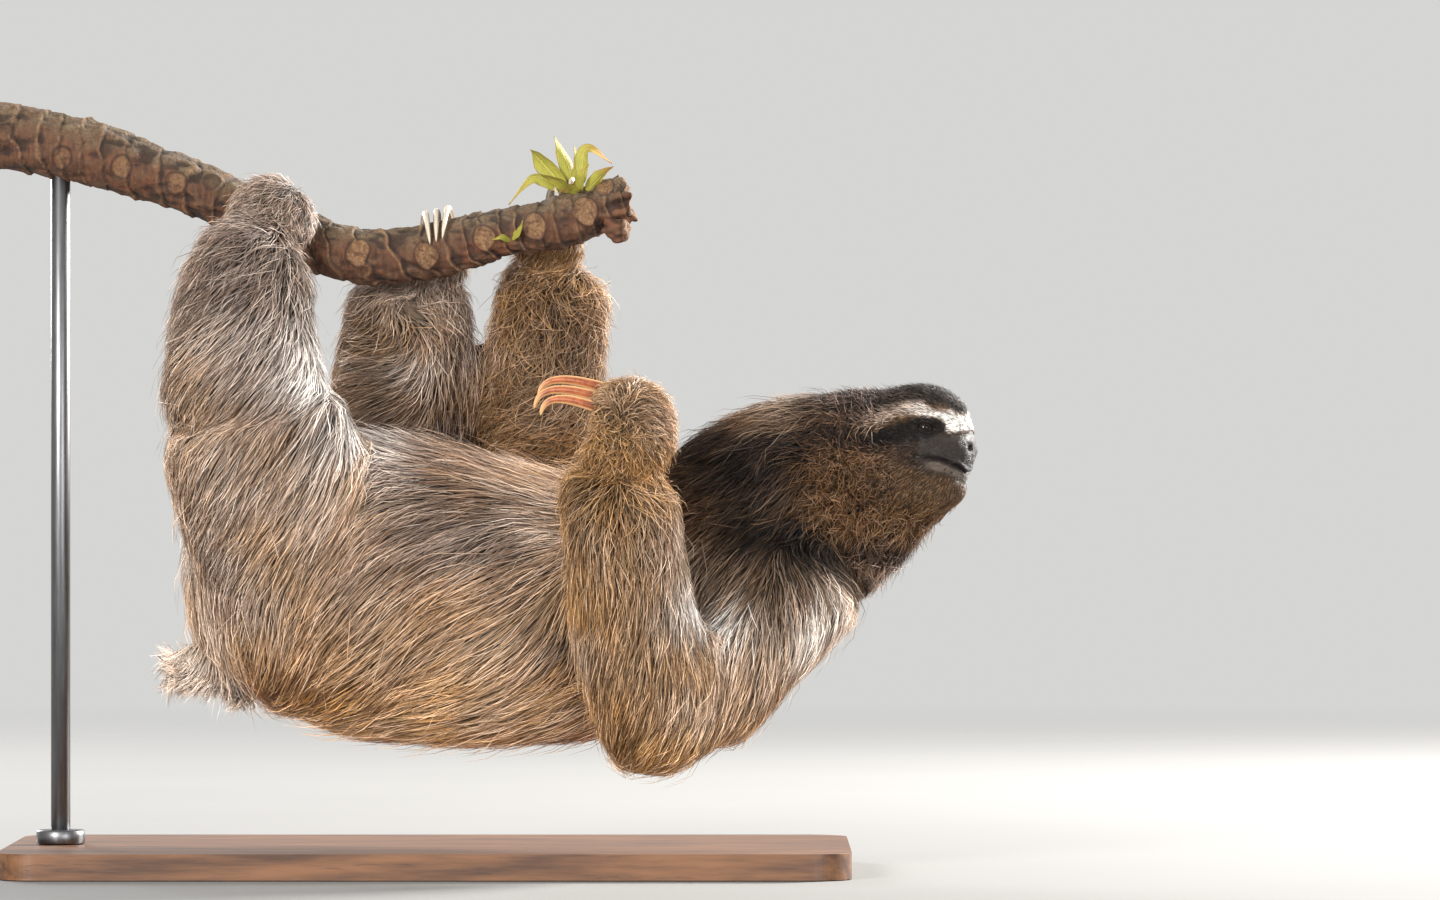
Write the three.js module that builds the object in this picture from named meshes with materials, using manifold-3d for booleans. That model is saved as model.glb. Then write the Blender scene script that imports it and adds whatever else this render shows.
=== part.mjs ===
// A life-size three-toed sloth that hangs belly-up from a short cut branch by three feet and turns
// its head upright, on a flat display base with one upright rod.
// Millimetres, +Z up, +X towards the head, -Y towards the animal's left side, which is the near one.
// The origin is the centre of the base's underside.
import * as THREE from "three";
import { mergeVertices } from "three/addons/utils/BufferGeometryUtils.js";
import Module from "manifold-3d";

const wasm = await Module();
wasm.setup();

// ---- Driving dimensions -------------------------------------------------------------------------
const GAP = 0.35; // clearance between neighbouring solids
const BRANCH_RADIUS = 17;
const CLAW_RADIUS = 2.7; // half the height of a claw at its root
const CLAW_WIDTH = 0.72; // a claw's width as a share of its height
const CLAW_SPACING = 8.4; // between the three claws of one foot
const EYE_RADIUS = 5.4;
const EAR_RADIUS = 7.5;
const HEAD_YAW = THREE.MathUtils.degToRad(-11); // the face is turned a little to the near side
const HEAD_PIVOT = [282, -4, 260];
const BASE = { length: 520, width: 250, height: 16, corner: 26 };
const ROD = { x: -229, radius: 6, collarRadius: 15, collarHeight: 9 };

const COLOURS = {
  fur: 0x8f7658,
  darkFur: 0x4a382c,
  faceFur: 0x6b5040,
  skin: 0x4a4240,
  eye: 0x140d09,
  claw: 0xc27c56,
  paleClaw: 0xb5ab9c,
  bark: 0x7c6250,
  leaf: 0xb3a64e,
  steel: 0xa8abad,
  base: 0x5b5650,
};

const X_AXIS = new THREE.Vector3(1, 0, 0);
const Y_AXIS = new THREE.Vector3(0, 1, 0);

// ---- Shape functions ----------------------------------------------------------------------------

// A round body pulled along a smooth line through its stations: a sphere whose poles go to the two
// ends. A station is { at: [x, y, z], high, deep }, with the half sizes across and along `side`.
// `round` is the share of the length that each end takes to round off. `grow` swells the body.
function pulled(stations, { around = 18, along = 10, side = Y_AXIS, round = [0.25, 0.25] }, grow = 0) {
  const line = new THREE.CatmullRomCurve3(stations.map((s) => new THREE.Vector3(...s.at)));
  const sizes = new THREE.CatmullRomCurve3(stations.map((s) => new THREE.Vector3(s.high, s.deep, 0)));
  const geometry = new THREE.SphereGeometry(1, around, along);
  const places = geometry.getAttribute("position");
  const ball = new THREE.Vector3();
  for (let i = 0; i < places.count; i++) {
    ball.fromBufferAttribute(places, i);
    const latitude = Math.acos(THREE.MathUtils.clamp(ball.y, -1, 1)) / Math.PI;
    const t = (latitude + (1 - Math.cos(latitude * Math.PI)) / 2) / 2;
    const fromStart = Math.max(0, 1 - t / round[0]);
    const fromEnd = Math.max(0, 1 - (1 - t) / round[1]);
    const rounding = Math.sqrt(Math.max(0, 1 - Math.max(fromStart, fromEnd) ** 2));
    const ring = Math.hypot(ball.x, ball.z);
    const share = ring > 1e-6 ? rounding / ring : 0;
    const size = sizes.getPoint(t);
    const tangent = line.getTangent(t);
    const across = side.clone().addScaledVector(tangent, -side.dot(tangent)).normalize();
    const up = across.clone().cross(tangent);
    const place = line
      .getPoint(t)
      .addScaledVector(up, ball.x * (share * size.x + grow))
      .addScaledVector(across, ball.z * (share * size.y + grow))
      .addScaledVector(tangent, -ball.y * grow);
    places.setXYZ(i, place.x, place.y, place.z);
  }
  return geometry;
}

// Distance from a point to an ellipsoid { at, radii }, close enough near its surface.
function ellipsoidDistance(point, { at, radii }, grow) {
  const scaled = [0, 1, 2].map((k) => (point.getComponent(k) - at[k]) / (radii[k] + grow));
  const steep = scaled.map((value, k) => value / (radii[k] + grow));
  const reach = Math.hypot(...scaled);
  return (reach * (reach - 1)) / Math.max(Math.hypot(...steep), 1e-9);
}

// A body blended from ellipsoids with soft joins, `soft` millimetres wide, found along each ray of
// a sphere from the origin.
function blended(blobs, { around = 26, along = 19, soft = 6 }, grow = 0) {
  const depthAt = (point) => {
    const sum = blobs.reduce((total, b) => total + Math.exp(-ellipsoidDistance(point, b, grow) / soft), 0);
    return -soft * Math.log(sum);
  };
  const geometry = new THREE.SphereGeometry(1, around, along);
  const places = geometry.getAttribute("position");
  const ray = new THREE.Vector3();
  const FARTHEST = 120;
  const HALVINGS = 16;
  for (let i = 0; i < places.count; i++) {
    // The sphere's poles lie along X, so that its rings run round the muzzle.
    ray.set(places.getY(i), places.getX(i), places.getZ(i)).multiply(new THREE.Vector3(1, -1, 1));
    let inside = 0;
    let outside = FARTHEST;
    for (let k = 0; k < HALVINGS; k++) {
      const middle = (inside + outside) / 2;
      if (depthAt(ray.clone().multiplyScalar(middle)) < 0) inside = middle;
      else outside = middle;
    }
    places.setXYZ(i, ray.x * inside, ray.y * inside, ray.z * inside);
  }
  return geometry;
}

function ellipsoid([x, y, z], [rx, ry, rz], around, along, grow) {
  return new THREE.SphereGeometry(1, around, along)
    .scale(rx + grow, ry + grow, rz + grow)
    .translate(x, y, z);
}

// ---- Solids and cuts ----------------------------------------------------------------------------

// A manifold-3d solid of a geometry placed by a matrix.
function solidOf(geometry, matrix) {
  const bare = new THREE.BufferGeometry();
  bare.setAttribute("position", geometry.getAttribute("position").clone());
  bare.setIndex(geometry.index);
  bare.applyMatrix4(matrix);
  const merged = mergeVertices(bare, 1e-4);
  return new wasm.Manifold(
    new wasm.Mesh({
      numProp: 3,
      vertProperties: merged.getAttribute("position").array,
      triVerts: new Uint32Array(merged.index.array),
    }),
  );
}

function geometryOf(solid, matrix) {
  const mesh = solid.getMesh();
  const geometry = new THREE.BufferGeometry();
  geometry.setAttribute("position", new THREE.BufferAttribute(new Float32Array(mesh.vertProperties), 3));
  geometry.setIndex(new THREE.BufferAttribute(new Uint32Array(mesh.triVerts), 1));
  geometry.applyMatrix4(matrix.clone().invert());
  return geometry;
}

const largestOf = (solid) =>
  solid.decompose().reduce((best, body) => (body.volume() > best.volume() ? body : best));

const root = new THREE.Group();
const animal = new THREE.Group();
const head = new THREE.Group();
const perch = new THREE.Group();
const stand = new THREE.Group();
root.add(animal, perch, stand);
animal.add(head);
head.position.set(...HEAD_PIVOT);
head.rotation.z = HEAD_YAW;
root.updateMatrixWorld(true);

// Adds one named piece. `make(grow)` gives its geometry in the group's frame, and `neighbours` are
// the pieces that it makes room for. Returns what later pieces need to make room for this one.
function piece(name, group, make, colour, neighbours = [], { roughness = 0.85, metalness = 0 } = {}) {
  const matrix = group.matrixWorld;
  let solid = solidOf(make(0), matrix);
  const swollen = solidOf(make(GAP), matrix);
  for (const neighbour of neighbours) solid = solid.subtract(neighbour.swollen);
  const material = new THREE.MeshStandardMaterial({ color: colour, roughness, metalness });
  const mesh = new THREE.Mesh(geometryOf(largestOf(solid), matrix), material);
  mesh.name = name;
  group.add(mesh);
  return { swollen };
}

// ---- The stand ----------------------------------------------------------------------------------

function basePlate(grow) {
  const { length, width, height, corner } = BASE;
  const x = length / 2 + grow;
  const y = width / 2 + grow;
  const outline = new THREE.Shape();
  outline.moveTo(-x + corner, -y);
  outline.lineTo(x - corner, -y);
  outline.absarc(x - corner, -y + corner, corner, -Math.PI / 2, 0);
  outline.absarc(x - corner, y - corner, corner, 0, Math.PI / 2);
  outline.absarc(-x + corner, y - corner, corner, Math.PI / 2, Math.PI);
  outline.absarc(-x + corner, -y + corner, corner, Math.PI, Math.PI * 1.5);
  return new THREE.ExtrudeGeometry(outline, { depth: height + grow, bevelEnabled: false, curveSegments: 8 });
}

// A rod of the stand between two heights, with the given radius.
const upright = (low, high, radius) => (grow) =>
  new THREE.CylinderGeometry(radius + grow, radius + grow, high - low + 2 * grow, 16)
    .rotateX(Math.PI / 2)
    .translate(ROD.x, 0, (low + high) / 2);

// ---- The branch ---------------------------------------------------------------------------------

// The branch dips in the middle and rises to its broken right end.
const BRANCH_LINE = [
  { at: [-274, 0, 457], high: 20, deep: 20 },
  { at: [-205, 0, 443], high: 19.5, deep: 19.5 },
  { at: [-143, 0, 421], high: 17, deep: 17 },
  { at: [-96, 0, 398], high: 16.6, deep: 16.6 },
  { at: [-50, 0, 382], high: 17.2, deep: 17 },
  { at: [-12, 0, 382], high: 17, deep: 17 },
  { at: [20, 0, 388], high: 16.6, deep: 16.6 },
  { at: [50, 0, 396], high: 15, deep: 15.5 },
  { at: [84, 0, 403], high: 15.6, deep: 15.6 },
  { at: [123, 0, 416], high: 14.5, deep: 14.5 },
];
const branchShape = (grow) =>
  pulled(BRANCH_LINE, { around: 14, along: 20, round: [0.004, 0.05] }, grow);

// Height of the branch's middle line at x.
const branchLine = new THREE.CatmullRomCurve3(BRANCH_LINE.map((s) => new THREE.Vector3(...s.at)));
function branchHeight(x) {
  const SAMPLES = 200;
  const points = branchLine.getPoints(SAMPLES);
  return points.reduce((best, p) => (Math.abs(p.x - x) < Math.abs(best.x - x) ? p : best)).z;
}

// Young leaves at the branch's tip: each goes from its foot over its widest point to its tip.
const LEAVES = [
  { foot: [83, -5, 421], middle: [64, -9, 429], tip: [49, -11, 412], wide: 5 },
  { foot: [84, -1, 423], middle: [69, 2, 440], tip: [62, 4, 447], wide: 8 },
  { foot: [89, 2, 424], middle: [83, 3, 443], tip: [77, 5, 455], wide: 6 },
  { foot: [94, -3, 425], middle: [97, -4, 446], tip: [113, -6, 438], wide: 5.5 },
  { foot: [97, -8, 421], middle: [106, -12, 430], tip: [114, -11, 436], wide: 5 },
];
const LEAF_HALF_THICKNESS = 0.7;
const leafShape = ({ foot, middle, tip, wide }) => (grow) =>
  pulled(
    [
      { at: foot, high: 1.6, deep: LEAF_HALF_THICKNESS + 0.3 },
      { at: middle, high: wide, deep: LEAF_HALF_THICKNESS },
      { at: tip, high: 1.2, deep: LEAF_HALF_THICKNESS },
    ],
    { around: 6, along: 6, round: [0.1, 0.3] },
    grow,
  );

// ---- Claws --------------------------------------------------------------------------------------

// Stations of a claw that grips the branch at x. Its angle runs over the top of the branch from
// `from` to `to`, in degrees above the far side, and its tip leans in.
function grippingClaw(x, from, to, root = CLAW_RADIUS) {
  const STEPS = 5;
  const centre = branchHeight(x);
  const stations = [];
  for (let k = 0; k <= STEPS; k++) {
    const share = k / STEPS;
    const size = root * (1 - 0.72 * share ** 1.6);
    const angle = THREE.MathUtils.degToRad(from + (to - from) * share);
    const reach = BRANCH_RADIUS + 3.2 + size;
    stations.push({
      at: [x, reach * Math.cos(angle), centre + reach * Math.sin(angle)],
      high: size,
      deep: size * CLAW_WIDTH,
    });
  }
  return stations;
}
const clawShape = (stations) => (grow) =>
  pulled(stations, { around: 6, along: 7, side: X_AXIS, round: [0.1, 0.16] }, grow);

// The three claws of a foot that grips the branch, side by side around `middle`.
const clawSet = (middle, from, to) =>
  [-1, 0, 1].map((k) => grippingClaw(middle + k * CLAW_SPACING, from, to));

// Stations of a claw of the free hand, which reaches out to -X and bends down at the tip.
function freeClaw(rootAt, length, drop) {
  const STEPS = 5;
  const stations = [];
  for (let k = 0; k <= STEPS; k++) {
    const share = k / STEPS;
    const size = (CLAW_RADIUS + 0.6) * (1 - 0.7 * share ** 1.8);
    stations.push({
      at: [
        rootAt[0] - length * Math.sin(share * 1.5),
        rootAt[1] + 2 * share,
        rootAt[2] + 7 * Math.sin(share * Math.PI * 0.8) - drop * share ** 3,
      ],
      high: size,
      deep: size * CLAW_WIDTH,
    });
  }
  return stations;
}

// ---- The body, limb by limb ---------------------------------------------------------------------

const TRUNK = [
  { at: [-150, 0, 148], high: 34, deep: 40 },
  { at: [-120, 0, 162], high: 74, deep: 68 },
  { at: [-62, 0, 176], high: 95, deep: 84 },
  { at: [-6, 0, 172], high: 97, deep: 90 },
  { at: [43, 0, 165], high: 92, deep: 88 },
  { at: [93, 0, 163], high: 85, deep: 80 },
  { at: [142, 0, 170], high: 79, deep: 72 },
  { at: [186, 0, 182], high: 74, deep: 63 },
  { at: [226, 0, 198], high: 60, deep: 52 },
  { at: [258, 0, 211], high: 38, deep: 38 },
];
const NECK = [
  { at: [165, 0, 188], high: 58, deep: 50 },
  { at: [198, -1, 216], high: 66, deep: 54 },
  { at: [236, -3, 234], high: 66, deep: 52 },
  { at: [278, -4, 245], high: 55, deep: 46 },
];
const TAIL = [
  { at: [-126, 0, 134], high: 24, deep: 20 },
  { at: [-148, 0, 123], high: 20, deep: 16 },
  { at: [-165, 0, 116], high: 9, deep: 9 },
];

// The near arm hangs from the shoulder to the elbow, and its forearm stands up beside the chest.
const NEAR_UPPER_ARM = [
  { at: [252, -22, 198], high: 40, deep: 32 },
  { at: [226, -39, 168], high: 39, deep: 35 },
  { at: [200, -54, 137], high: 35, deep: 36 },
  { at: [178, -66, 110], high: 34, deep: 36 },
  { at: [161, -76, 88], high: 34, deep: 33 },
];
const NEAR_FOREARM = [
  { at: [152, -84, 58], high: 36, deep: 33 },
  { at: [139, -92, 110], high: 41, deep: 35 },
  { at: [126, -100, 167], high: 39.5, deep: 34 },
  { at: [119, -107, 224], high: 35, deep: 31 },
  { at: [117, -111, 248], high: 32, deep: 27 },
];
const NEAR_HAND = { at: [125, -112, 272], radii: [29, 25, 34] };

const FAR_UPPER_ARM = [
  { at: [216, 24, 190], high: 38, deep: 32 },
  { at: [160, 56, 194], high: 42, deep: 38 },
  { at: [104, 72, 212], high: 42, deep: 38 },
  { at: [72, 76, 226], high: 36, deep: 33 },
];
const FAR_FOREARM = [
  { at: [70, 76, 220], high: 36, deep: 33 },
  { at: [66, 70, 266], high: 42, deep: 36 },
  { at: [69, 60, 310], high: 41.5, deep: 34 },
  { at: [74, 52, 350], high: 36.5, deep: 29 },
  { at: [77, 44, 380], high: 28, deep: 24 },
];
const FAR_HAND = { at: [79, 36, 393], radii: [26, 18, 20] };

const NEAR_THIGH = [
  { at: [-72, -32, 186], high: 66, deep: 46 },
  { at: [-94, -50, 232], high: 62, deep: 46 },
  { at: [-107, -60, 286], high: 56, deep: 42 },
];
const NEAR_SHANK = [
  { at: [-107, -60, 270], high: 55, deep: 42 },
  { at: [-113, -56, 322], high: 48.5, deep: 38 },
  { at: [-111, -50, 368], high: 41, deep: 33 },
  { at: [-102, -42, 397], high: 31, deep: 26 },
];
const NEAR_FOOT = { at: [-97, -28, 403], radii: [27, 24, 27] };

const FAR_THIGH = [
  { at: [-66, 34, 196], high: 60, deep: 46 },
  { at: [-40, 54, 236], high: 58, deep: 44 },
  { at: [-20, 62, 282], high: 50, deep: 38 },
];
const FAR_SHANK = [
  { at: [-20, 64, 248], high: 50, deep: 38 },
  { at: [-18, 57, 306], high: 46, deep: 35 },
  { at: [-15, 47, 345], high: 40, deep: 29 },
  { at: [-13, 40, 372], high: 36, deep: 25 },
];
const FAR_FOOT = { at: [-8, 34, 376], radii: [32, 19, 20] };

// Head, in its own frame: +X to the nose, +Z to the crown.
const HEAD_BLOBS = [
  { at: [-9, 0, 6], radii: [40, 38, 32] }, // cranium
  { at: [24, 0, 15], radii: [29, 22.5, 25] }, // forehead and brow
  { at: [36, 0, -1], radii: [20, 15, 14] }, // muzzle
  { at: [27, 0, -22], radii: [23, 18, 19] }, // chin
  { at: [-4, 0, -27], radii: [35, 41, 42] }, // cheeks
  { at: [-17, 0, -52], radii: [33, 37, 35] }, // throat ruff
];
const NOSE = { at: [53.2, 0, -0.5], radii: [6.5, 8.5, 6] };
const EYE = { at: [28.5, 21, 14] };
const EAR = { at: [-24, 38.5, 4] };
const MOUTH_CUT = { at: [42, 0, -10.6], radii: [21, 20, 0.7], pitch: THREE.MathUtils.degToRad(20) };

const pulledAs = (stations, options = {}) => (grow) => pulled(stations, options, grow);
const lump = ({ at, radii }, around = 11, along = 7) => (grow) =>
  ellipsoid(at, radii, around, along, grow);

// ---- Putting it together ------------------------------------------------------------------------

const rodTop = branchHeight(ROD.x) - 4;
const SATIN = { roughness: 0.35, metalness: 0.9 };
const base = piece("stand_base", stand, basePlate, COLOURS.base, [], { roughness: 0.5 });
const rodShape = upright(BASE.height + GAP, rodTop, ROD.radius);
const rod = piece("stand_rod", stand, rodShape, COLOURS.steel, [], SATIN);
const collarShape = upright(BASE.height + GAP, BASE.height + ROD.collarHeight, ROD.collarRadius);
piece("stand_collar", stand, collarShape, COLOURS.steel, [rod, base], SATIN);

const branch = piece("branch", perch, branchShape, COLOURS.bark, [rod]);
const stubStations = [
  { at: [108, -8, 399], high: 6, deep: 6 },
  { at: [118, -14, 396], high: 6.5, deep: 6.5 },
  { at: [123, -17, 394], high: 4, deep: 4 },
];
piece("branch_bud", perch, pulledAs(stubStations, { around: 10, along: 7 }), COLOURS.bark, [branch]);
const leaves = [];
LEAVES.forEach((leaf, index) => {
  leaves.push(piece(`leaf_${index + 1}`, perch, leafShape(leaf), COLOURS.leaf, [branch, ...leaves]));
});

function clawNodes(label, sets, colour) {
  return sets.map((stations, index) =>
    piece(`claw_${label}_${index + 1}`, animal, clawShape(stations), colour, [branch, ...leaves], {
      roughness: 0.4,
    }),
  );
}
const footLeftClaws = clawNodes("foot_left", clawSet(-97, 150, 20), COLOURS.paleClaw);
const footRightClaws = clawNodes("foot_right", clawSet(4, 28, 168), COLOURS.paleClaw);
const handRightClaws = clawNodes("hand_right", clawSet(82, 30, 118), COLOURS.paleClaw);
const FREE_CLAWS = [
  freeClaw([112, -101, 298], 43, 10),
  freeClaw([110, -110, 292], 43, 11),
  freeClaw([107, -119, 286], 36, 9),
];
const handLeftClaws = clawNodes("hand_left", FREE_CLAWS, COLOURS.claw);

const nose = piece("nose", head, lump(NOSE, 10, 6), COLOURS.skin, [], { roughness: 0.5 });
const onSide = (y, [x, z]) => [x, y, z];
const SIDES = { left: 1, right: -1 };
const faceParts = [nose];
for (const [side, sign] of Object.entries(SIDES)) {
  const eyeAt = onSide(sign * EYE.at[1], [EYE.at[0], EYE.at[2]]);
  const earAt = onSide(sign * EAR.at[1], [EAR.at[0], EAR.at[2]]);
  const eyeball = lump({ at: eyeAt, radii: [EYE_RADIUS, EYE_RADIUS, EYE_RADIUS] }, 10, 7);
  const earLump = lump({ at: earAt, radii: [EAR_RADIUS, 4, EAR_RADIUS] }, 9, 6);
  faceParts.push(piece(`eye_${side}`, head, eyeball, COLOURS.eye, [], { roughness: 0.08 }));
  faceParts.push(piece(`ear_${side}`, head, earLump, COLOURS.darkFur));
}
const mouthCut = (grow) =>
  new THREE.SphereGeometry(1, 14, 6)
    .scale(MOUTH_CUT.radii[0] + grow, MOUTH_CUT.radii[1] + grow, MOUTH_CUT.radii[2] + grow)
    .rotateY(MOUTH_CUT.pitch)
    .translate(...MOUTH_CUT.at);
const mouth = { swollen: solidOf(mouthCut(0), head.matrixWorld) };
const skull = piece("head", head, (grow) => blended(HEAD_BLOBS, {}, grow), COLOURS.faceFur, [
  ...faceParts,
  mouth,
]);

const trunkShape = pulledAs(TRUNK, { around: 18, along: 13, round: [0.12, 0.2] });
const trunk = piece("trunk", animal, trunkShape, COLOURS.fur, [skull]);
const core = [trunk, skull, ...faceParts];
const tail = piece("tail", animal, pulledAs(TAIL, { around: 12, along: 7 }), COLOURS.fur, core);

const LIMB = { around: 13, along: 8, round: [0.3, 0.3] };
const TOP_OF_LIMB = { ...LIMB, round: [0.3, 0.14] }; // fuller where the next length goes on
const REST_OF_LIMB = { ...LIMB, round: [0.16, 0.25] };
// A limb of three nodes, from the body out: each makes room for what it grows from.
function limb(names, shapes, claws, others) {
  const made = [];
  names.forEach((name, index) => {
    const outermost = index === names.length - 1;
    const nearby = [...core, ...others, ...made, branch, ...(outermost ? claws : [])];
    made.push(piece(name, animal, shapes[index], COLOURS.fur, nearby));
  });
  return made;
}
const nearArm = limb(
  ["upper_arm_left", "forearm_left", "hand_left"],
  [pulledAs(NEAR_UPPER_ARM, TOP_OF_LIMB), pulledAs(NEAR_FOREARM, REST_OF_LIMB), lump(NEAR_HAND)],
  handLeftClaws,
  [],
);
const farArm = limb(
  ["upper_arm_right", "forearm_right", "hand_right"],
  [pulledAs(FAR_UPPER_ARM, TOP_OF_LIMB), pulledAs(FAR_FOREARM, REST_OF_LIMB), lump(FAR_HAND)],
  [...handRightClaws, ...leaves],
  nearArm,
);
const nearLeg = limb(
  ["thigh_left", "shank_left", "foot_left"],
  [pulledAs(NEAR_THIGH, TOP_OF_LIMB), pulledAs(NEAR_SHANK, REST_OF_LIMB), lump(NEAR_FOOT)],
  footLeftClaws,
  [tail, ...nearArm],
);
limb(
  ["thigh_right", "shank_right", "foot_right"],
  [pulledAs(FAR_THIGH, TOP_OF_LIMB), pulledAs(FAR_SHANK, REST_OF_LIMB), lump(FAR_FOOT)],
  footRightClaws,
  [tail, ...nearLeg, ...farArm],
);
const neckRoom = [...core, nearArm[0], farArm[0], nearArm[1]];
piece("neck", animal, pulledAs(NECK, { around: 16, along: 8 }), COLOURS.darkFur, neckRoom);

export default root;
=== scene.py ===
import math

import bmesh
import bpy
import numpy as np
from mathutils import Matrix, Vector, kdtree


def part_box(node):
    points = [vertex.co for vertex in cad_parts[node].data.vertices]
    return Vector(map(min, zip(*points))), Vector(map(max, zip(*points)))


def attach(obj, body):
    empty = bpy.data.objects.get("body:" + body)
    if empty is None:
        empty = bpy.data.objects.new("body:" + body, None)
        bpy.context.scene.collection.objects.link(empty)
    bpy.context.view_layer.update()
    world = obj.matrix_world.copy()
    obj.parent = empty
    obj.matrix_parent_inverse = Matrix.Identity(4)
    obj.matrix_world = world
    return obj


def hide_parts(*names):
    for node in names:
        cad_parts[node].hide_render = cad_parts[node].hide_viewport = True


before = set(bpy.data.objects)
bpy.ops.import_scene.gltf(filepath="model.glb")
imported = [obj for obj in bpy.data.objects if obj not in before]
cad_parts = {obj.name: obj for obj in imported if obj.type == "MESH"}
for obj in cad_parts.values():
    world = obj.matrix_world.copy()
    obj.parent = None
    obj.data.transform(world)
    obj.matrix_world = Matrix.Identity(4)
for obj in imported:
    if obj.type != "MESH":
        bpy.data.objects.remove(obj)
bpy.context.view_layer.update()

# A museum model of a three-toed sloth that hangs from a branch, life size. Lengths here are in
# millimetres unless a line says otherwise; meshes are written in metres.
METRE = 0.001
JOIN = 1e-5  # metres: corners of a CAD mesh that are closer than this are one

HEAD_PIVOT = np.array([282.0, -4.0, 260.0])
HEAD_YAW = math.radians(-11)
SIDES = {"left": 1.0, "right": -1.0}  # of the head, which looks along +X

LIMB_NODES = [
    f"{part}_{side}"
    for side in SIDES
    for part in ("upper_arm", "forearm", "hand", "thigh", "shank", "foot")
]
HEAD_NODES = ["head", "nose", "ear_left", "ear_right"]
FLESH = ["trunk", "neck", "tail", *HEAD_NODES, *LIMB_NODES]


# ---- Small helpers ------------------------------------------------------------------------------


def kind_of(node):
    """A node's name without its side."""
    return node.removesuffix("_left").removesuffix("_right")


def share_of(shares, *nodes):
    """How much of each place belongs to these nodes of the flesh."""
    return shares[:, [FLESH.index(node) for node in nodes]].sum(1)


def step(low, high, values):
    """0 below low, 1 above high, smooth between them. Falls instead where high is the lower."""
    share = np.clip((values - low) / (high - low), 0, 1)
    return share * share * (3 - 2 * share)


def unit(vectors):
    return vectors / np.maximum(np.linalg.norm(vectors, axis=-1, keepdims=True), 1e-9)


def along_normal(vectors, normals):
    return (vectors * normals).sum(-1, keepdims=True)


def mixed(one, other, share):
    return one * (1 - share) + other * share


def bell(distance, reach):
    """1 at no distance, and next to nothing beyond twice the reach."""
    return np.exp(-((distance / reach) ** 2))


def side_distance(points, place):
    """Distance from points to a place (x, z), seen from the side."""
    return np.hypot(points[:, 0] - place[0], points[:, 2] - place[1])


def mirrored(local):
    """Places in the head's own frame, all brought to its left side."""
    return local * (1, 0, 1) + np.abs(local) * (0, 1, 0)


def waves(points, size, seed, count=12):
    """Smooth noise round 0 and about 1 high, with bumps about size across. Each seed has its own."""
    rng = np.random.default_rng(seed)
    waving = unit(rng.normal(size=(count, 3))) * rng.uniform(0.6, 1.5, (count, 1))
    phase = rng.uniform(0, 2 * math.pi, count)
    return np.sin(points @ waving.T * (math.pi / size) + phase).sum(-1) / math.sqrt(count / 2)


def to_line(points, line):
    """Distance from 2-D points to a broken line, and how far along it the nearest place is, 0-1."""
    line = np.array(line, float)
    best = np.full(len(points), 1e9)
    where = np.zeros(len(points))
    for k, (a, b) in enumerate(zip(line[:-1], line[1:])):
        run = b - a
        share = np.clip(((points - a) @ run) / (run @ run), 0, 1)
        away = np.linalg.norm(points - a - share[:, None] * run, axis=1)
        where = np.where(away < best, (k + share) / (len(line) - 1), where)
        best = np.minimum(best, away)
    return best, where


def turned(vectors, angle):
    """Directions turned about the upright axis."""
    c, s = math.cos(angle), math.sin(angle)
    x, y, z = np.moveaxis(vectors, -1, 0)
    return np.stack([c * x - s * y, s * x + c * y, z], -1)


def head_space(points):
    """Points in the head's own frame: x to the nose, y to its left, z up."""
    return turned(points - HEAD_PIVOT, -HEAD_YAW)


def turned_by_head(vectors):
    """Directions in the head's own frame, turned into the model's frame."""
    return turned(vectors, HEAD_YAW)


def from_head(points):
    return turned_by_head(np.array(points, float)) + HEAD_PIVOT


def points_of(mesh):
    flat = np.empty(len(mesh.vertices) * 3, np.float32)
    mesh.vertices.foreach_get("co", flat)
    return flat.reshape(-1, 3).astype(float) / METRE


def place_points(mesh, points):
    mesh.vertices.foreach_set("co", (points * METRE).astype(np.float32).ravel())
    mesh.update()


def normals_of(mesh):
    flat = np.empty(len(mesh.vertices) * 3, np.float32)
    mesh.vertex_normals.foreach_get("vector", flat)
    return flat.reshape(-1, 3).astype(float)


def edges_of(mesh):
    flat = np.empty(len(mesh.edges) * 2, np.int32)
    mesh.edges.foreach_get("vertices", flat)
    return flat.reshape(-1, 2)


def triangles_of(mesh):
    """Corners of the triangles as vertices, and as loops."""
    mesh.calc_loop_triangles()
    corners = np.empty(len(mesh.loop_triangles) * 3, np.int32)
    loops = np.empty(len(mesh.loop_triangles) * 3, np.int32)
    mesh.loop_triangles.foreach_get("vertices", corners)
    mesh.loop_triangles.foreach_get("loops", loops)
    return corners.reshape(-1, 3), loops.reshape(-1, 3)


def triangle_areas(points, corners):
    a, b, c = (points[corners[:, k]] for k in range(3))
    return np.linalg.norm(np.cross(b - a, c - a), axis=1) / 2


def spread(values, edges, rounds, rate=0.5):
    """Moves each vertex's value towards the mean of its neighbours', a few times over."""
    shape = np.shape(values)
    flat = np.array(values, float).reshape(shape[0], -1)
    count = np.maximum(np.bincount(edges.ravel(), minlength=len(flat)), 1)
    rate = np.reshape(rate, (-1, 1))
    for _ in range(rounds):
        mean = np.empty_like(flat)
        for k in range(flat.shape[1]):
            mean[:, k] = np.bincount(edges[:, 0], flat[edges[:, 1], k], len(flat))
            mean[:, k] += np.bincount(edges[:, 1], flat[edges[:, 0], k], len(flat))
            mean[:, k] /= count
        flat += rate * (mean - flat)
    return flat.reshape(shape)


def tree_of(points):
    tree = kdtree.KDTree(len(points))
    for index, point in enumerate(points.tolist()):
        tree.insert(point, index)
    tree.balance()
    return tree


def nearest(tree, points):
    return np.array([tree.find(point)[1] for point in points.tolist()], np.int64)


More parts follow.
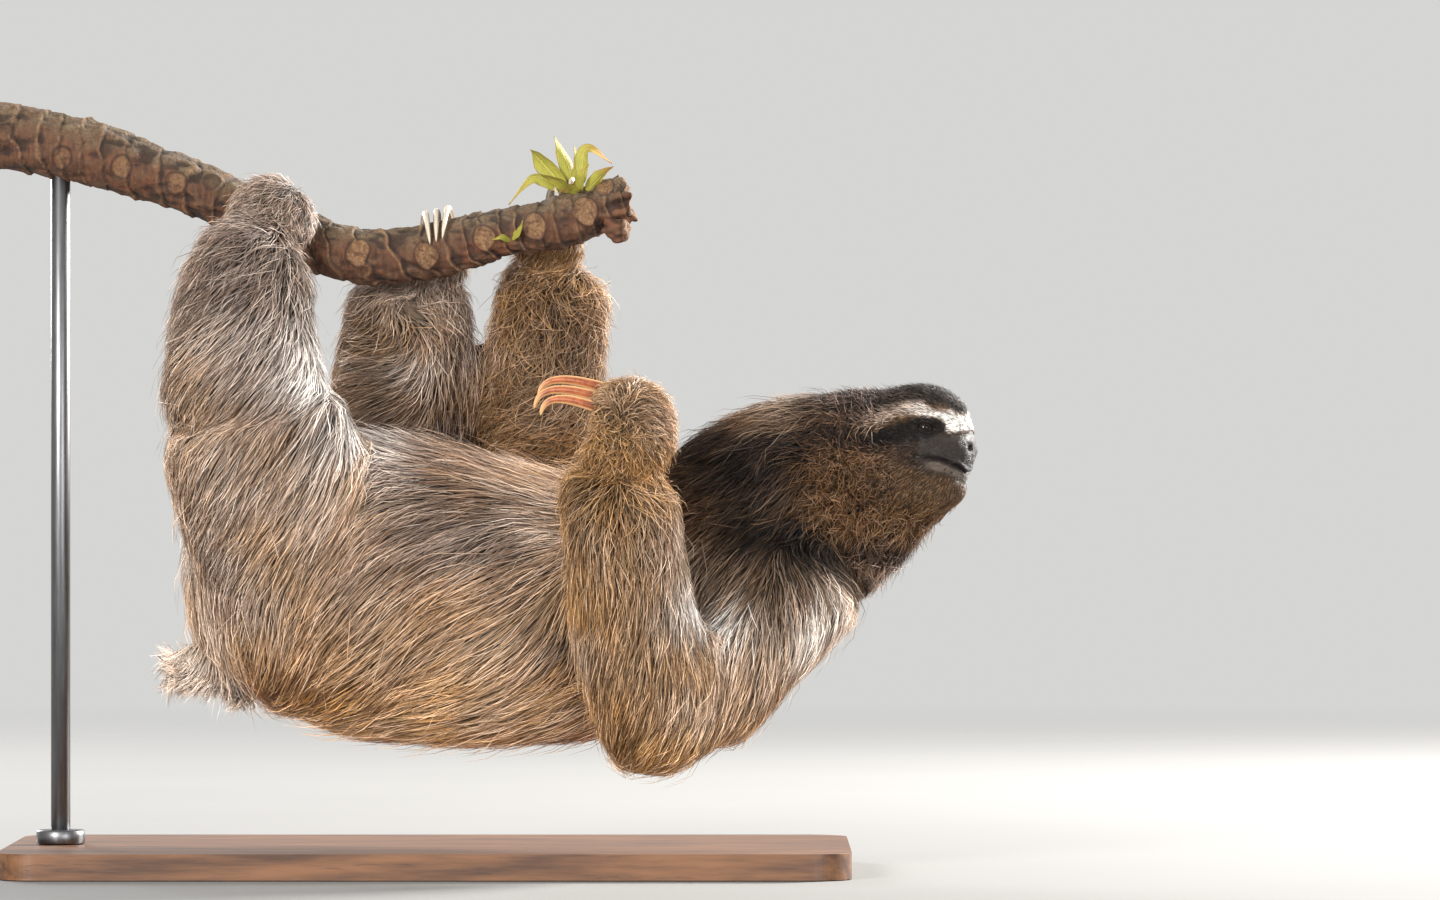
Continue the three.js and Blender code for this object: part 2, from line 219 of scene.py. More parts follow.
def write_attribute(mesh, name, values):
    kind = "FLOAT_VECTOR" if np.ndim(values) == 2 else "FLOAT"
    layer = mesh.attributes.new(name, kind, "POINT")
    key = "vector" if np.ndim(values) == 2 else "value"
    layer.data.foreach_set(key, np.asarray(values, np.float32).ravel())


def set_smooth(mesh, smooth=True):
    mesh.polygons.foreach_set("use_smooth", np.full(len(mesh.polygons), smooth))


def mesh_from(name, points, triangles):
    """A smooth mesh from points in millimetres."""
    mesh = bpy.data.meshes.new(name)
    mesh.vertices.add(len(points))
    mesh.loops.add(triangles.size)
    mesh.polygons.add(len(triangles))
    mesh.loops.foreach_set("vertex_index", triangles.astype(np.int32).ravel())
    starts = np.arange(0, triangles.size, triangles.shape[1], dtype=np.int32)
    mesh.polygons.foreach_set("loop_start", starts)
    set_smooth(mesh)
    mesh.vertices.foreach_set("co", (points * METRE).astype(np.float32).ravel())
    mesh.update(calc_edges=True)
    return mesh


def add_piece(mesh, finish, nodes=()):
    """Puts a mesh in the scene as a piece of the model, with its finish and the nodes it replaces."""
    piece = bpy.data.objects.new(mesh.name, mesh)
    bpy.context.scene.collection.objects.link(piece)
    mesh.materials.clear()
    mesh.materials.append(finish)
    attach(piece, "root")
    if nodes:
        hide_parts(*nodes)
    return piece


def merged_copy(nodes, swell=0.0):
    """One mesh of these CAD nodes, with their split corners joined, swollen by this much."""
    merged = bmesh.new()
    for node in nodes:
        part = bmesh.new()
        part.from_mesh(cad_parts[node].data)
        bmesh.ops.remove_doubles(part, verts=part.verts, dist=JOIN)
        part.normal_update()
        for vertex in part.verts:
            vertex.co += vertex.normal * (swell * METRE)
        holder = bpy.data.meshes.new("holder")
        part.to_mesh(holder)
        part.free()
        merged.from_mesh(holder)
        bpy.data.meshes.remove(holder)
    copy = bpy.data.meshes.new("copy")
    merged.to_mesh(copy)
    merged.free()
    return copy


def changed_by(mesh, kind, **settings):
    """A new mesh: this one after one modifier."""
    holder = bpy.data.objects.new("holder", mesh)
    bpy.context.scene.collection.objects.link(holder)
    modifier = holder.modifiers.new("change", kind)
    for key, value in settings.items():
        setattr(modifier, key, value)
    bpy.context.view_layer.update()
    evaluated = holder.evaluated_get(bpy.context.evaluated_depsgraph_get())
    changed = bpy.data.meshes.new_from_object(evaluated)
    bpy.data.objects.remove(holder)
    return changed


# ---- Finishes -----------------------------------------------------------------------------------


def srgb(red, green, blue):
    """A colour as painters write it, 0-255, as the shader wants it."""
    parts = [value / 255 for value in (red, green, blue)]
    return (*[p / 12.92 if p <= 0.04045 else ((p + 0.055) / 1.055) ** 2.4 for p in parts], 1.0)


class Wire:
    """A socket of a finish, with Python's operators for the maths on its values."""

    def __init__(self, finish, socket):
        self.finish = finish
        self.socket = socket

    def maths(self, operation, *values, clamp=False):
        settings = {"operation": operation, "use_clamp": clamp}
        return self.finish.node("Math", settings, dict(enumerate(values)))

    def __add__(self, other):
        return self.maths("ADD", self, other)

    def __sub__(self, other):
        return self.maths("SUBTRACT", self, other)

    def __rsub__(self, other):
        return self.maths("SUBTRACT", other, self)

    def __mul__(self, other):
        return self.maths("MULTIPLY", self, other)

    def __pow__(self, other):
        return self.maths("POWER", self, other)

    __radd__ = __add__
    __rmul__ = __mul__

    def clamped(self):
        return self.maths("ADD", self, 0.0, clamp=True)

    def between(self, low, high):
        """0 below low, 1 above high, smooth between them."""
        settings = {"interpolation_type": "SMOOTHSTEP"}
        return self.finish.node("MapRange", settings, {"Value": self, 1: low, 2: high})


class Finish:
    """A material in the making."""

    def __init__(self, name):
        self.material = bpy.data.materials.new(name)
        self.material.use_nodes = True
        self.tree = self.material.node_tree
        self.tree.nodes.clear()

    def node(self, kind, settings=None, values=None, out=0):
        """Adds a node: its settings first, then the values or links of its sockets."""
        made = self.tree.nodes.new("ShaderNode" + kind)
        for key, value in (settings or {}).items():
            setattr(made, key, value)
        for key, value in (values or {}).items():
            if isinstance(value, Wire):
                self.tree.links.new(value.socket, made.inputs[key])
            else:
                made.inputs[key].default_value = value
        return Wire(self, made.outputs[out])

    def attribute(self, name):
        """A vector kept on the mesh, as its three numbers."""
        whole = self.node("Attribute", {"attribute_name": name}, out="Vector")
        return self.parts(whole)

    def parts(self, whole):
        first = self.node("SeparateXYZ", values={0: whole})
        return [Wire(self, socket) for socket in first.socket.node.outputs]

    def place(self):
        """The place in the model's frame, in metres: every piece lies at the origin."""
        return self.node("TexCoord", out="Object")

    def joined(self, x, y=0.0):
        """A vector from numbers that change over the surface."""
        return self.node("CombineXYZ", None, {0: x, 1: y})

    def noise(self, scale, detail=3.0, roughness=0.55, at=None):
        values = {"Scale": scale, "Detail": detail, "Roughness": roughness}
        return self.node("TexNoise", None, {"Vector": at or self.place(), **values})

    def from_cell_edges(self, scale):
        values = {"Vector": self.place(), "Scale": scale}
        return self.node("TexVoronoi", {"feature": "DISTANCE_TO_EDGE"}, values)

    def mix(self, one, other, share, way="MIX"):
        settings = {"data_type": "RGBA", "blend_type": way}
        return self.node("Mix", settings, {0: share, 6: one, 7: other}, out=2)

    def scaled(self, colour, amount):
        return self.node("VectorMath", {"operation": "SCALE"}, {0: colour, "Scale": amount})

    def stretched(self, *scale):
        return self.node("Mapping", None, {"Vector": self.place(), "Scale": scale})

    def bump(self, height, distance, strength=1.0):
        """Distance is in metres."""
        values = {"Height": height, "Distance": distance, "Strength": strength}
        return self.node("Bump", None, values)

    def surface(self, **values):
        """Ends the finish with its shader; spaces in socket names are written as underscores."""
        named = {key.replace("_", " "): value for key, value in values.items()}
        shader = self.node("BsdfPrincipled", None, named)
        output = self.tree.nodes.new("ShaderNodeOutputMaterial")
        self.tree.links.new(shader.socket, output.inputs["Surface"])
        return self.material


TAN = srgb(212, 186, 166)
GOLD = srgb(230, 172, 92)
PALE = srgb(252, 248, 242)
DARK = srgb(27, 18, 13)
RUDDY = srgb(150, 82, 48)
BARE_SKIN = srgb(43, 35, 31)
PALER_SKIN_AND_HIGHLIGHT = srgb(104, 92, 82)
# Near black: painted shade in the face's hollows, and the dark bare skin round the eyes.
HOLLOW_SHADE_AND_DARK_SKIN = srgb(18, 14, 12)


def coat_colour(finish):
    """The coat's markings: the same masks colour the hairs and the skin under them."""
    warm, pale, dark = finish.attribute("marks")
    colour = finish.mix(TAN, GOLD, warm)
    colour = finish.mix(colour, PALE, pale)
    return finish.mix(colour, DARK, dark)


def hair_finish():
    f = Finish("coat_hair")
    along, shade, tone = f.attribute("strand")
    patches = f.noise(38.0, 2.0)
    # Each hair is darker at the root and lighter to the tip: the dark roots are painted shade, under
    # the hairs that lie over them.
    root_shade_to_tip = 0.28 + 0.86 * along
    light = root_shade_to_tip * (0.12 + 1.75 * shade) * (0.86 + 0.28 * patches)
    colour = f.scaled(coat_colour(f), light)
    ruddy = f.mix(colour, RUDDY, 1.0, "MULTIPLY")
    colour = f.mix(colour, ruddy, (tone * 0.4).clamped())
    roughness = 0.56 - 0.14 * shade
    return f.surface(Base_Color=colour, Roughness=roughness, Specular_IOR_Level=0.4)


def skin_finish():
    f = Finish("skin")
    bare, dark, paler = f.attribute("face")
    mottle = f.noise(260.0, 4.0, 0.6)
    pores = f.from_cell_edges(900.0)
    wrinkles = f.noise(95.0, 5.0, 0.6, f.stretched(1.0, 1.0, 2.6))
    # Under the coat the skin takes the coat's colour, made dark: painted shade for the gaps between the
    # hairs.
    under = f.scaled(coat_colour(f), 0.1 + 0.14 * mottle)
    skin = f.mix(f.mix(BARE_SKIN, PALER_SKIN_AND_HIGHLIGHT, paler), HOLLOW_SHADE_AND_DARK_SKIN, dark)
    skin = f.scaled(skin, 0.1 + 1.1 * mottle + 0.7 * wrinkles)
    colour = f.mix(under, skin, bare)
    height = (pores.between(0.0, 0.25) * 0.35 + wrinkles * 0.9) * bare + mottle * 0.2
    normal = f.bump(height, 0.001, 1.0)
    roughness = 0.8 - bare * (0.26 + 0.2 * wrinkles)
    return f.surface(
        Base_Color=colour, Roughness=roughness, Normal=normal, Specular_IOR_Level=0.35
    )


def eye_finish():
    f = Finish("eye_glass")
    turn, around, _ = f.attribute("iris")
    rays = f.noise(14.0, 3.0, 0.6, f.joined(around, turn * 0.2))
    iris = f.mix(srgb(14, 9, 6), srgb(38, 23, 15), rays)
    colour = f.mix(srgb(4, 3, 3), iris, turn.between(0.2, 0.26))
    colour = f.mix(colour, srgb(24, 17, 13), turn.between(0.5, 0.62))
    return f.surface(Base_Color=colour, Roughness=0.1, Specular_IOR_Level=0.2)


def claw_finish(name, base, pale, dark):
    f = Finish(name)
    along, across, around = f.attribute("claw")
    streaks = f.noise(30.0, 4.0, 0.6, f.joined(across * 0.9, along * 0.16))
    blotches = f.noise(240.0, 2.0)
    colour = f.mix(dark, base, along.between(0.0, 0.25))
    colour = f.mix(colour, dark, (streaks * 0.7 + blotches * 0.5).between(0.52, 0.72) * 0.75)
    colour = f.mix(colour, pale, around.between(0.1, 0.55) * 0.85)
    colour = f.mix(colour, pale, along.between(0.6, 1.0) * 0.85)
    rings = f.node("TexNoise", None, {"Vector": f.joined(along), "Scale": 38.0})
    normal = f.bump(streaks * 0.6 + rings * 0.4, 0.0005, 0.6)
    roughness = 0.34 + 0.22 * streaks
    return f.surface(Base_Color=colour, Roughness=roughness, Normal=normal)


def bark_finish():
    f = Finish("bark")
    scar, ridge_light_groove_shade, height = f.attribute("bark")
    # Top says how far a place lies on the branch's top, for painted light from above.
    top, broken, flake = f.attribute("grain")
    coarse = f.noise(48.0, 5.0, 0.6)
    fine = f.noise(520.0, 6.0, 0.72)
    cracks = f.noise(190.0, 5.0, 0.65, f.stretched(0.4, 1.0, 1.0))
    fibres = f.noise(210.0, 4.0, 0.6, f.stretched(2.2, 0.5, 0.5))
    brown = f.mix(srgb(68, 42, 27), srgb(99, 63, 40), fibres.between(0.3, 0.7))
    grey = f.mix(srgb(78, 62, 46), srgb(119, 100, 76), fine.between(0.3, 0.7))
    # Greyer and lighter on top, and less red there: painted light from above. The flakes are grey all
    # round.
    grey_flakes_and_top_light = top * 1.1 * coarse.between(0.25, 0.6) + 0.35 * flake * coarse.between(0.4, 0.6)
    colour = f.mix(brown, grey, grey_flakes_and_top_light.clamped())
    colour = f.mix(colour, srgb(123, 71, 41), coarse.between(0.52, 0.72) * (0.6 - 0.5 * top))
    colour = f.mix(colour, srgb(30, 17, 12), cracks.between(0.55, 0.7) * 0.75)
    # Darker where the bark lies low: painted shade in its hollows. Lighter on the edges of its lengths
    # and darker in the grooves before them: painted highlight and painted shadow.
    colour = f.mix(colour, srgb(27, 15, 10), (0.35 - height).between(0.0, 1.0) * 0.7)
    colour = f.mix(colour, srgb(158, 122, 87), (ridge_light_groove_shade * 0.65 * fine.between(0.3, 0.6)).clamped())
    colour = f.mix(colour, srgb(24, 14, 9), (ridge_light_groove_shade * -0.55).clamped())
    scar_wood = f.mix(srgb(146, 112, 76), srgb(98, 68, 46), fine.between(0.35, 0.62))
    scar_wood = f.mix(scar_wood, srgb(64, 33, 19), cracks.between(0.5, 0.62) * 0.6)
    colour = f.mix(colour, scar_wood, scar.between(0.35, 0.8) * 0.9)
    rim = scar.between(0.06, 0.2) * (1.0 - scar.between(0.3, 0.5))
    colour = f.mix(colour, srgb(37, 19, 12), rim * 0.6)
    wood = f.mix(srgb(135, 102, 64), srgb(71, 42, 24), cracks.between(0.35, 0.65))
    colour = f.mix(colour, wood, broken)
    normal = f.bump(fine * 0.7 + cracks * 0.9 + fibres * 0.6, 0.0014, 1.0)
    return f.surface(Base_Color=colour, Roughness=0.7 + 0.2 * fine, Normal=normal)


def leaf_finish():
    f = Finish("leaf")
    across, along, tint = f.attribute("leaf")
    speckle = f.noise(300.0, 3.0)
    veins = f.node("TexWave", {"wave_type": "BANDS", "bands_direction": "Y"}, {
        "Vector": f.joined(across, along + across * 0.5), "Scale": 2.6, "Distortion": 0.4,
    })
    green = f.mix(srgb(117, 122, 34), srgb(167, 158, 63), speckle)
    colour = f.mix(green, srgb(168, 111, 58), tint * along.between(0.35, 0.95))
    rib = 1.0 - across.between(0.02, 0.14)
    ribs = (rib + veins.between(0.86, 1.0) * 0.4).clamped()
    colour = f.mix(colour, srgb(179, 166, 79), ribs * 0.7)
    colour = f.mix(colour, srgb(134, 68, 33), across.between(0.84, 1.0) * 0.5)
    normal = f.bump(veins * 0.3 + rib, 0.0006, 0.6)
    return f.surface(Base_Color=colour, Roughness=0.58 + 0.15 * speckle, Normal=normal)


def wood_finish():
    f = Finish("stand_wood")
    grain = f.noise(16.0, 8.0, 0.62, f.stretched(0.6, 7.0, 7.0))
    pores = f.noise(420.0, 3.0, 0.6, f.stretched(0.08, 1.0, 1.0))
    colour = f.mix(srgb(70, 44, 28), srgb(122, 82, 52), grain.between(0.3, 0.7))
    colour = f.mix(colour, srgb(38, 24, 16), pores.between(0.6, 0.75) * 0.6)
    normal = f.bump(pores * 0.5 + grain * 0.3, 0.0003, 0.5)
    roughness = 0.36 + 0.18 * pores
    return f.surface(Base_Color=colour, Roughness=roughness, Normal=normal)


def steel_finish():
    f = Finish("stand_steel")
    brushed = f.noise(90.0, 4.0, 0.6, f.stretched(6.0, 6.0, 0.4))
    smudge = f.noise(25.0, 3.0)
    colour = f.mix(srgb(88, 88, 90), srgb(128, 128, 130), brushed)
    normal = f.bump(brushed, 0.0002, 0.4)
    roughness = 0.26 + 0.12 * brushed + 0.1 * smudge
    return f.surface(Base_Color=colour, Metallic=1.0, Roughness=roughness, Normal=normal)


def floor_finish():
    f = Finish("studio_floor")
    x, y, _ = f.parts(f.place())
    away = (x * x + y * y) ** 0.5
    mottle = f.noise(3.0, 3.0)
    colour = f.mix(srgb(126, 125, 123), srgb(132, 131, 129), mottle)
    shader = f.node("BsdfPrincipled", None, {"Base Color": colour, "Roughness": 0.85})
    clear = f.node("BsdfTransparent")
    both = f.node("MixShader", None, {0: away.between(1.3, 3.4), 1: shader, 2: clear})
    output = f.tree.nodes.new("ShaderNodeOutputMaterial")
    f.tree.links.new(both.socket, output.inputs["Surface"])
    return f.material


# ---- The coat's measures ------------------------------------------------------------------------

# For each kind of node: depth of the coat, length and width of its hairs, and how many layers of
# hair lie over the skin. The face has measures of its own, in coat_depth and measure_coat.
COAT = {
    "trunk": (11.0, 56.0, 0.52, 4.0),
    "neck": (10.0, 38.0, 0.46, 4.2),
    "tail": (11.0, 22.0, 0.44, 4.6),
    "upper_arm": (9.5, 44.0, 0.48, 4.2),
    "forearm": (8.0, 36.0, 0.46, 4.2),
    "hand": (4.0, 19.0, 0.4, 3.8),
    "thigh": (10.0, 46.0, 0.5, 4.2),
    "shank": (8.5, 36.0, 0.48, 4.3),
    "foot": (4.5, 20.0, 0.42, 3.8),
    "head": (5.0, 11.0, 0.34, 3.0),
    "nose": (0.3, 2.0, 0.3, 0.0),
    "ear": (1.0, 8.0, 0.34, 3.0),
}

COAT_TRIANGLES = 1_420_000
HAIR_TRIANGLES = 12  # of one hair
SHORT_SAVES = 6  # of them that one of the head's short hairs does without
# The undercoat's hairs lie low, so the finish makes them darker: painted shade under the coat.
UNDERCOAT = 0.24  # the share of hairs that are wide, low and dark, and fill the coat from below

# Combing: where on the body (x, z), which way the hair lies there as degrees from +X towards +Z,
# and how far round that place the stroke counts.
STROKES = {
    "trunk": [
        (93, 229, 182, 40), (12, 229, 193, 40), (-31, 211, 222, 36), (-62, 192, 240, 36),
        (43, 167, 212, 45), (81, 155, 232, 36), (31, 105, 205, 40), (40, 80, 190, 30),
        (-62, 112, 232, 36), (-100, 167, 268, 40), (-126, 120, 268, 30), (-150, 160, 262, 20),
        (28, 262, 168, 28), (-22, 264, 200, 26), (150, 180, 236, 45), (200, 190, 238, 40),
        (-40, 150, 225, 40), (130, 120, 215, 40),
    ],
    "tail": [(-150, 150, 200, 12), (-144, 132, 236, 14)],
    "neck": [(190, 250, 205, 40), (240, 290, 222, 40), (230, 200, 245, 40), (160, 250, 190, 40)],
    "upper_arm": [(209, 190, 265, 40), (178, 110, 250, 35), (165, 70, 205, 30), (220, 150, 245, 35)],
    "forearm": [(95, 236, 204, 16), (140, 236, 336, 14), (117, 205, 268, 30), (125, 140, 262, 40),
                (140, 70, 235, 35)],
    "hand": [(115, 272, 250, 60)],
    "thigh": [(-107, 280, 238, 40), (-94, 232, 238, 40), (-72, 186, 246, 40), (-60, 285, 238, 24)],
    "shank": [(-97, 400, 236, 30), (-130, 368, 226, 28), (-140, 322, 228, 30), (-100, 345, 234, 28),
              (-100, 300, 232, 32), (-72, 345, 266, 18), (-62, 316, 260, 18), (-107, 270, 238, 40)],
    "foot": [(-97, 403, 228, 60)],
}
FAR_STROKES = {
    "upper_arm": [(200, 195, 200, 60), (120, 210, 185, 60), (80, 225, 200, 40)],
    "forearm": [(45, 355, 222, 20), (75, 378, 200, 14), (104, 352, 292, 18), (50, 325, 250, 24),
                (92, 325, 262, 24), (60, 285, 214, 26), (90, 275, 206, 26)],
    "hand": [(79, 393, 240, 60)],
    "thigh": [(-20, 282, 262, 40), (-40, 236, 250, 40), (-66, 196, 246, 40)],
    "shank": [(-52, 345, 182, 22), (-46, 318, 186, 24), (-44, 288, 196, 24), (-27, 335, 186, 18),
              (-26, 305, 196, 16), (-8, 330, 268, 12), (12, 345, 296, 18), (12, 305, 280, 20),
              (-20, 262, 236, 30)],
    "foot": [(-8, 376, 262, 60)],
}
# Whorls: which node, centre, how far it reaches, how strongly it turns the hair, and how much of
# that is round the centre instead of away from it.
WHORLS = [
    ("hand_left", (115, -140, 271), 30, 2.6, 0.0),
    ("forearm_right", (78, 12, 360), 24, 2.2, 0.8),
    ("shank_right", (-19, 12, 354), 24, 2.2, 0.8),
    ("upper_arm_left", (205, -70, 206), 42, 1.6, 0.0),
    ("neck", (214, -55, 262), 24, 1.8, 0.6),
]

# Where the hairs' tips stand free of the body, besides the tail: x, z, reach and share.
FREE_PLACES = [(-130, 112, 17, 0.45)]

# Markings: for each kind of node, how warm, how pale and how dark its hair is.
BASE_MARKS = {
    "trunk": (0.4, 0.08, 0.03),
    "neck": (0.62, 0.0, 0.9),
    "tail": (0.55, 0.5, 0.0),
    "upper_arm": (0.5, 0.16, 0.18),
    "forearm": (0.84, 0.08, 0.29),
    "hand": (0.9, 0.06, 0.32),
    "thigh": (0.3, 0.12, 0.05),
    "shank": (0.18, 0.17, 0.42),
    "foot": (0.12, 0.12, 0.36),
    "head": (0.88, 0.0, 0.75),
    "nose": (0.2, 0.0, 0.9),
    "ear": (0.4, 0.0, 0.8),
}
# Patches: node, place (x, z), size, and how much warmer, paler and darker it is.
PATCHES = [
    ("trunk", (40, 112), 64, (0.55, 0.06, -0.05)),
    ("trunk", (-60, 130), 50, (0.4, 0.02, -0.03)),
    ("trunk", (-120, 150), 50, (0.4, 0.2, -0.06)),
    ("trunk", (-130, 116), 20, (0.1, 0.7, -0.05)),
    ("trunk", (60, 215), 45, (-0.2, 0.04, 0.22)),
    ("trunk", (10, 240), 44, (-0.2, -0.02, 0.16)),
    ("trunk", (48, 240), 34, (-0.1, -0.06, 0.24)),
    ("trunk", (-46, 280), 18, (-0.1, 1.0, -0.05)),
    ("trunk", (0, 266), 17, (-0.15, 0.95, -0.05)),
    ("trunk", (45, 262), 24, (0.45, 0.0, 0.08)),
    ("trunk", (205, 190), 60, (0.1, 0.1, 0.34)),
    ("trunk", (150, 240), 40, (0.0, -0.05, 0.2)),
    ("trunk", (225, 150), 40, (0.0, 0.3, -0.2)),
    # Pale at the knee and groin: pale hair, made paler still as painted sunlight.
    ("thigh_left", (-52, 300), 19, (-0.1, 1.0, -0.1)),
    ("thigh_left", (-54, 286), 15, (-0.15, 0.2, -0.1)),
    ("shank_left", (-58, 320), 19, (-0.1, 1.0, -0.3)),
    ("shank_left", (-135, 298), 34, (0.15, 0.0, -0.3)),
    ("shank_left", (-68, 346), 24, (-0.2, 0.5, -0.12)),
    ("shank_right", (-45, 320), 34, (0.6, 0.0, -0.36)),
    ("shank_right", (-20, 350), 24, (0.3, 0.0, -0.2)),
    ("shank_right", (-4, 322), 12, (-0.2, 0.45, -0.1)),
    ("shank_right", (14, 300), 30, (0.1, -0.12, 0.2)),
    ("thigh_right", (-25, 270), 60, (0.15, -0.1, 0.12)),
    ("forearm_right", (72, 310), 70, (-0.1, -0.02, 0.17)),
    ("forearm_left", (120, 185), 40, (0.0, 0.05, 0.0)),
    # Pale at the inner elbow: pale hair, made paler still as painted sunlight.
    ("forearm_left", (170, 184), 20, (-0.6, 1.3, -0.35)),
    ("forearm_left", (160, 222), 15, (-0.5, 0.35, 0.0)),
    ("forearm_left", (150, 100), 40, (0.1, 0.12, -0.12)),
    # Pale streaks on the upper arm and below the collar: pale hair, made paler still as painted
    # sunlight.
    ("upper_arm_left", (188, 174), 20, (-0.2, 1.1, -0.35)),
    ("upper_arm_left", (185, 85), 40, (0.5, 0.12, -0.1)),
    ("upper_arm_left", (206, 206), 26, (0.3, -0.1, 0.6)),
    ("upper_arm_left", (206, 184), 22, (0.4, -0.05, 0.46)),
    ("upper_arm_left", (236, 172), 22, (0.2, 0.7, -0.2)),
    ("neck", (262, 192), 20, (0.0, 0.0, 0.1)),
    ("neck", (270, 178), 13, (-0.2, 0.5, -0.6)),
    ("trunk", (266, 170), 16, (0.1, 0.3, -0.3)),
    # Darker along the crease under the cheek: partly darker hair, partly painted shade in the crease.
    ("neck", (212, 220), 15, (0.0, 0.0, 0.3)),
    ("neck", (236, 208), 15, (0.0, 0.0, 0.3)),
    ("neck", (258, 196), 15, (0.0, 0.0, 0.3)),
    ("neck", (240, 298), 24, (-0.1, 0.4, -0.3)),
    ("head", (258, 298), 16, (-0.5, 0.35, -0.2)),
    ("neck", (190, 200), 40, (0.2, 0.1, -0.1)),
    ("neck", (184, 232), 20, (0.1, 0.0, -0.1)),
    ("neck", (225, 285), 30, (0.1, 0.1, -0.08)),
    ("neck", (216, 258), 10, (-0.3, 0.0, 0.2)),
    # Pale strands below the collar: pale hair, made paler still as painted sunlight.
    ("neck", (240, 180), 28, (0.3, 0.6, -0.4)),
]
NEAR_LEG = ("thigh_left", "shank_left")
NEAR_ARM = ("forearm_left", "hand_left")
FAR_ARM = ("forearm_right", "hand_right")
COLLAR = ("neck", "head")
# The crease between cheek and neck, where the hair is darkened by painted shade.
CREASE_SHADE_LINE = [(202, 220), (214, 213), (236, 203), (258, 190), (268, 182)]  # x and z
# Where the outside of the body is fuller (or, below 0, leaner) than the solids: nodes, place
# (x, z), how far that reaches and how much.
FULLER = [
    (NEAR_LEG, (-160, 268), 36, 6.0),
    (NEAR_LEG + ("trunk",), (-60, 281), 18, 11.0),
    (("shank_left",), (-150, 390), 22, -4.0),
    (FAR_ARM, (102, 356), 16, 3.0),
    (("forearm_right",), (108, 392), 15, -9.0),
    (("hand_right",), (108, 392), 15, -18.0),
    (FAR_ARM, (58, 374), 16, 6.0),
    (NEAR_ARM, (90, 247), 16, 13.0),
    (COLLAR, (200, 216), 9, -6.0),
    (COLLAR, (216, 208), 9, -7.0),
    (COLLAR, (232, 199), 9, -7.0),
    (COLLAR, (248, 190), 9, -6.0),
    (("head",), (314, 224), 14, 6.5),
    (("tail",), (-158, 122), 30, -6.0),
    (COLLAR, (247, 292), 18, 5.0),
    (("trunk",), (-128, 116), 18, 9.0),
    (("trunk",), (-92, 95), 22, -4.0),
    (("neck", "head", "trunk"), (267, 176), 12, 8.0),
    (("neck", "trunk", "upper_arm_left"), (256, 162), 14, 7.0),
    (NEAR_ARM, (97, 272), 11, -6.0),
]
TAIL_SHIFT = np.array([0.0, 0.0, 6.0])

# Places in the head's own frame, on its left side.
EYE_AT = np.array([28.5, 21.0, 14.0])
EYE_RADIUS = 5.4
NOSTRIL_AT = np.array([53.2, 7.6, 1.7])
# Broken lines on the side of the face, as (x, z).
MOUTH_LINE = [(17, -1.6), (27, -4.0), (36, -4.8), (41.5, -6.4), (49, -10.0), (53, -15.0)]
BROW_LINE = [(52, 13.5), (43, 15), (35.5, 19.5), (28, 25), (18, 25), (9, 21.5), (0, 18), (-12, 14)]
STRIPE_LINE = [(36, 13), (28, 13), (19, 11), (7, 8.5), (-1, 7), (-20, 10), (-36, 13)]


def mouth_height(x):
    xs, zs = np.array(MOUTH_LINE).T
    return np.interp(x, xs, zs)


def face_areas(local):
    """Shares of the head's areas at these places in its own frame. On_brow says how far back
    along the brow a place is, 0-1."""
    x, z = local[:, 0], local[:, 2]
    y = np.abs(local[:, 1])
    flat = np.stack([x, z], 1)
    from_mouth = z - mouth_height(x)
    to_brow, on_brow = to_line(flat, BROW_LINE)
    to_stripe, on_stripe = to_line(flat, STRIPE_LINE)
    eye_patch = np.hypot((x - 26) / 14.5, (z - 12.2) / 6.6) + 0.1 * waves(local, 7, 41)
    side = step(7, 12, y)
    brow_width = 6.5 - 2.6 * step(0.05, 0.3, on_brow)
    brow = step(brow_width + 2.0, brow_width - 2.0, to_brow)
    white = step(17, 8, np.hypot((x - 47) / 1.1, z - 15)) * step(9, 12.5, z)
    white *= step(25, 19.5, z + 0.4 * (x - 44) + 0.8 * waves(local, 4, 42))
    stripe_width = 6.8 - 2.6 * on_stripe
    stripe = step(stripe_width + 1.6, stripe_width - 1.6, to_stripe) * side
    patch = step(1.12, 0.86, eye_patch) * side
    snout = step(18, 31, x + 2.5 * waves(local, 5, 43))
    snout *= step(12, 8.5, z + 0.7 * waves(local, 4, 44)) * step(-2.2, 0.2, from_mouth)
    muzzle = step(6, 20, x) * step(13, 8, z) * step(-9, -2, from_mouth)
    lip = step(24, 31, x) * step(-10, -6, from_mouth) * step(1.0, -0.4, from_mouth)
    chin = step(13, 5, np.hypot(x - 35, z + 24))
    crown = step(-30, 8, x) * step(16, 25, z - 6 * step(0, 30, x) + 9 * step(38, 54, x))
    behind_brow = step(-62, -40, x) * step(8, -14, x) * step(15, 22, z + 0.15 * x)
    return {
        "brow": brow * (1 - patch) * (1 - snout), "on_brow": on_brow, "white": white,
        "muzzle": muzzle, "stripe": stripe, "patch": patch, "snout": snout, "lip": lip, "chin": chin,
        "crown": crown * (1 - brow) * (1 - white),
        "front": step(-6, 26, x) * step(-44, -28, z),
        "behind_brow": behind_brow * (1 - brow) * 0.9,
    }


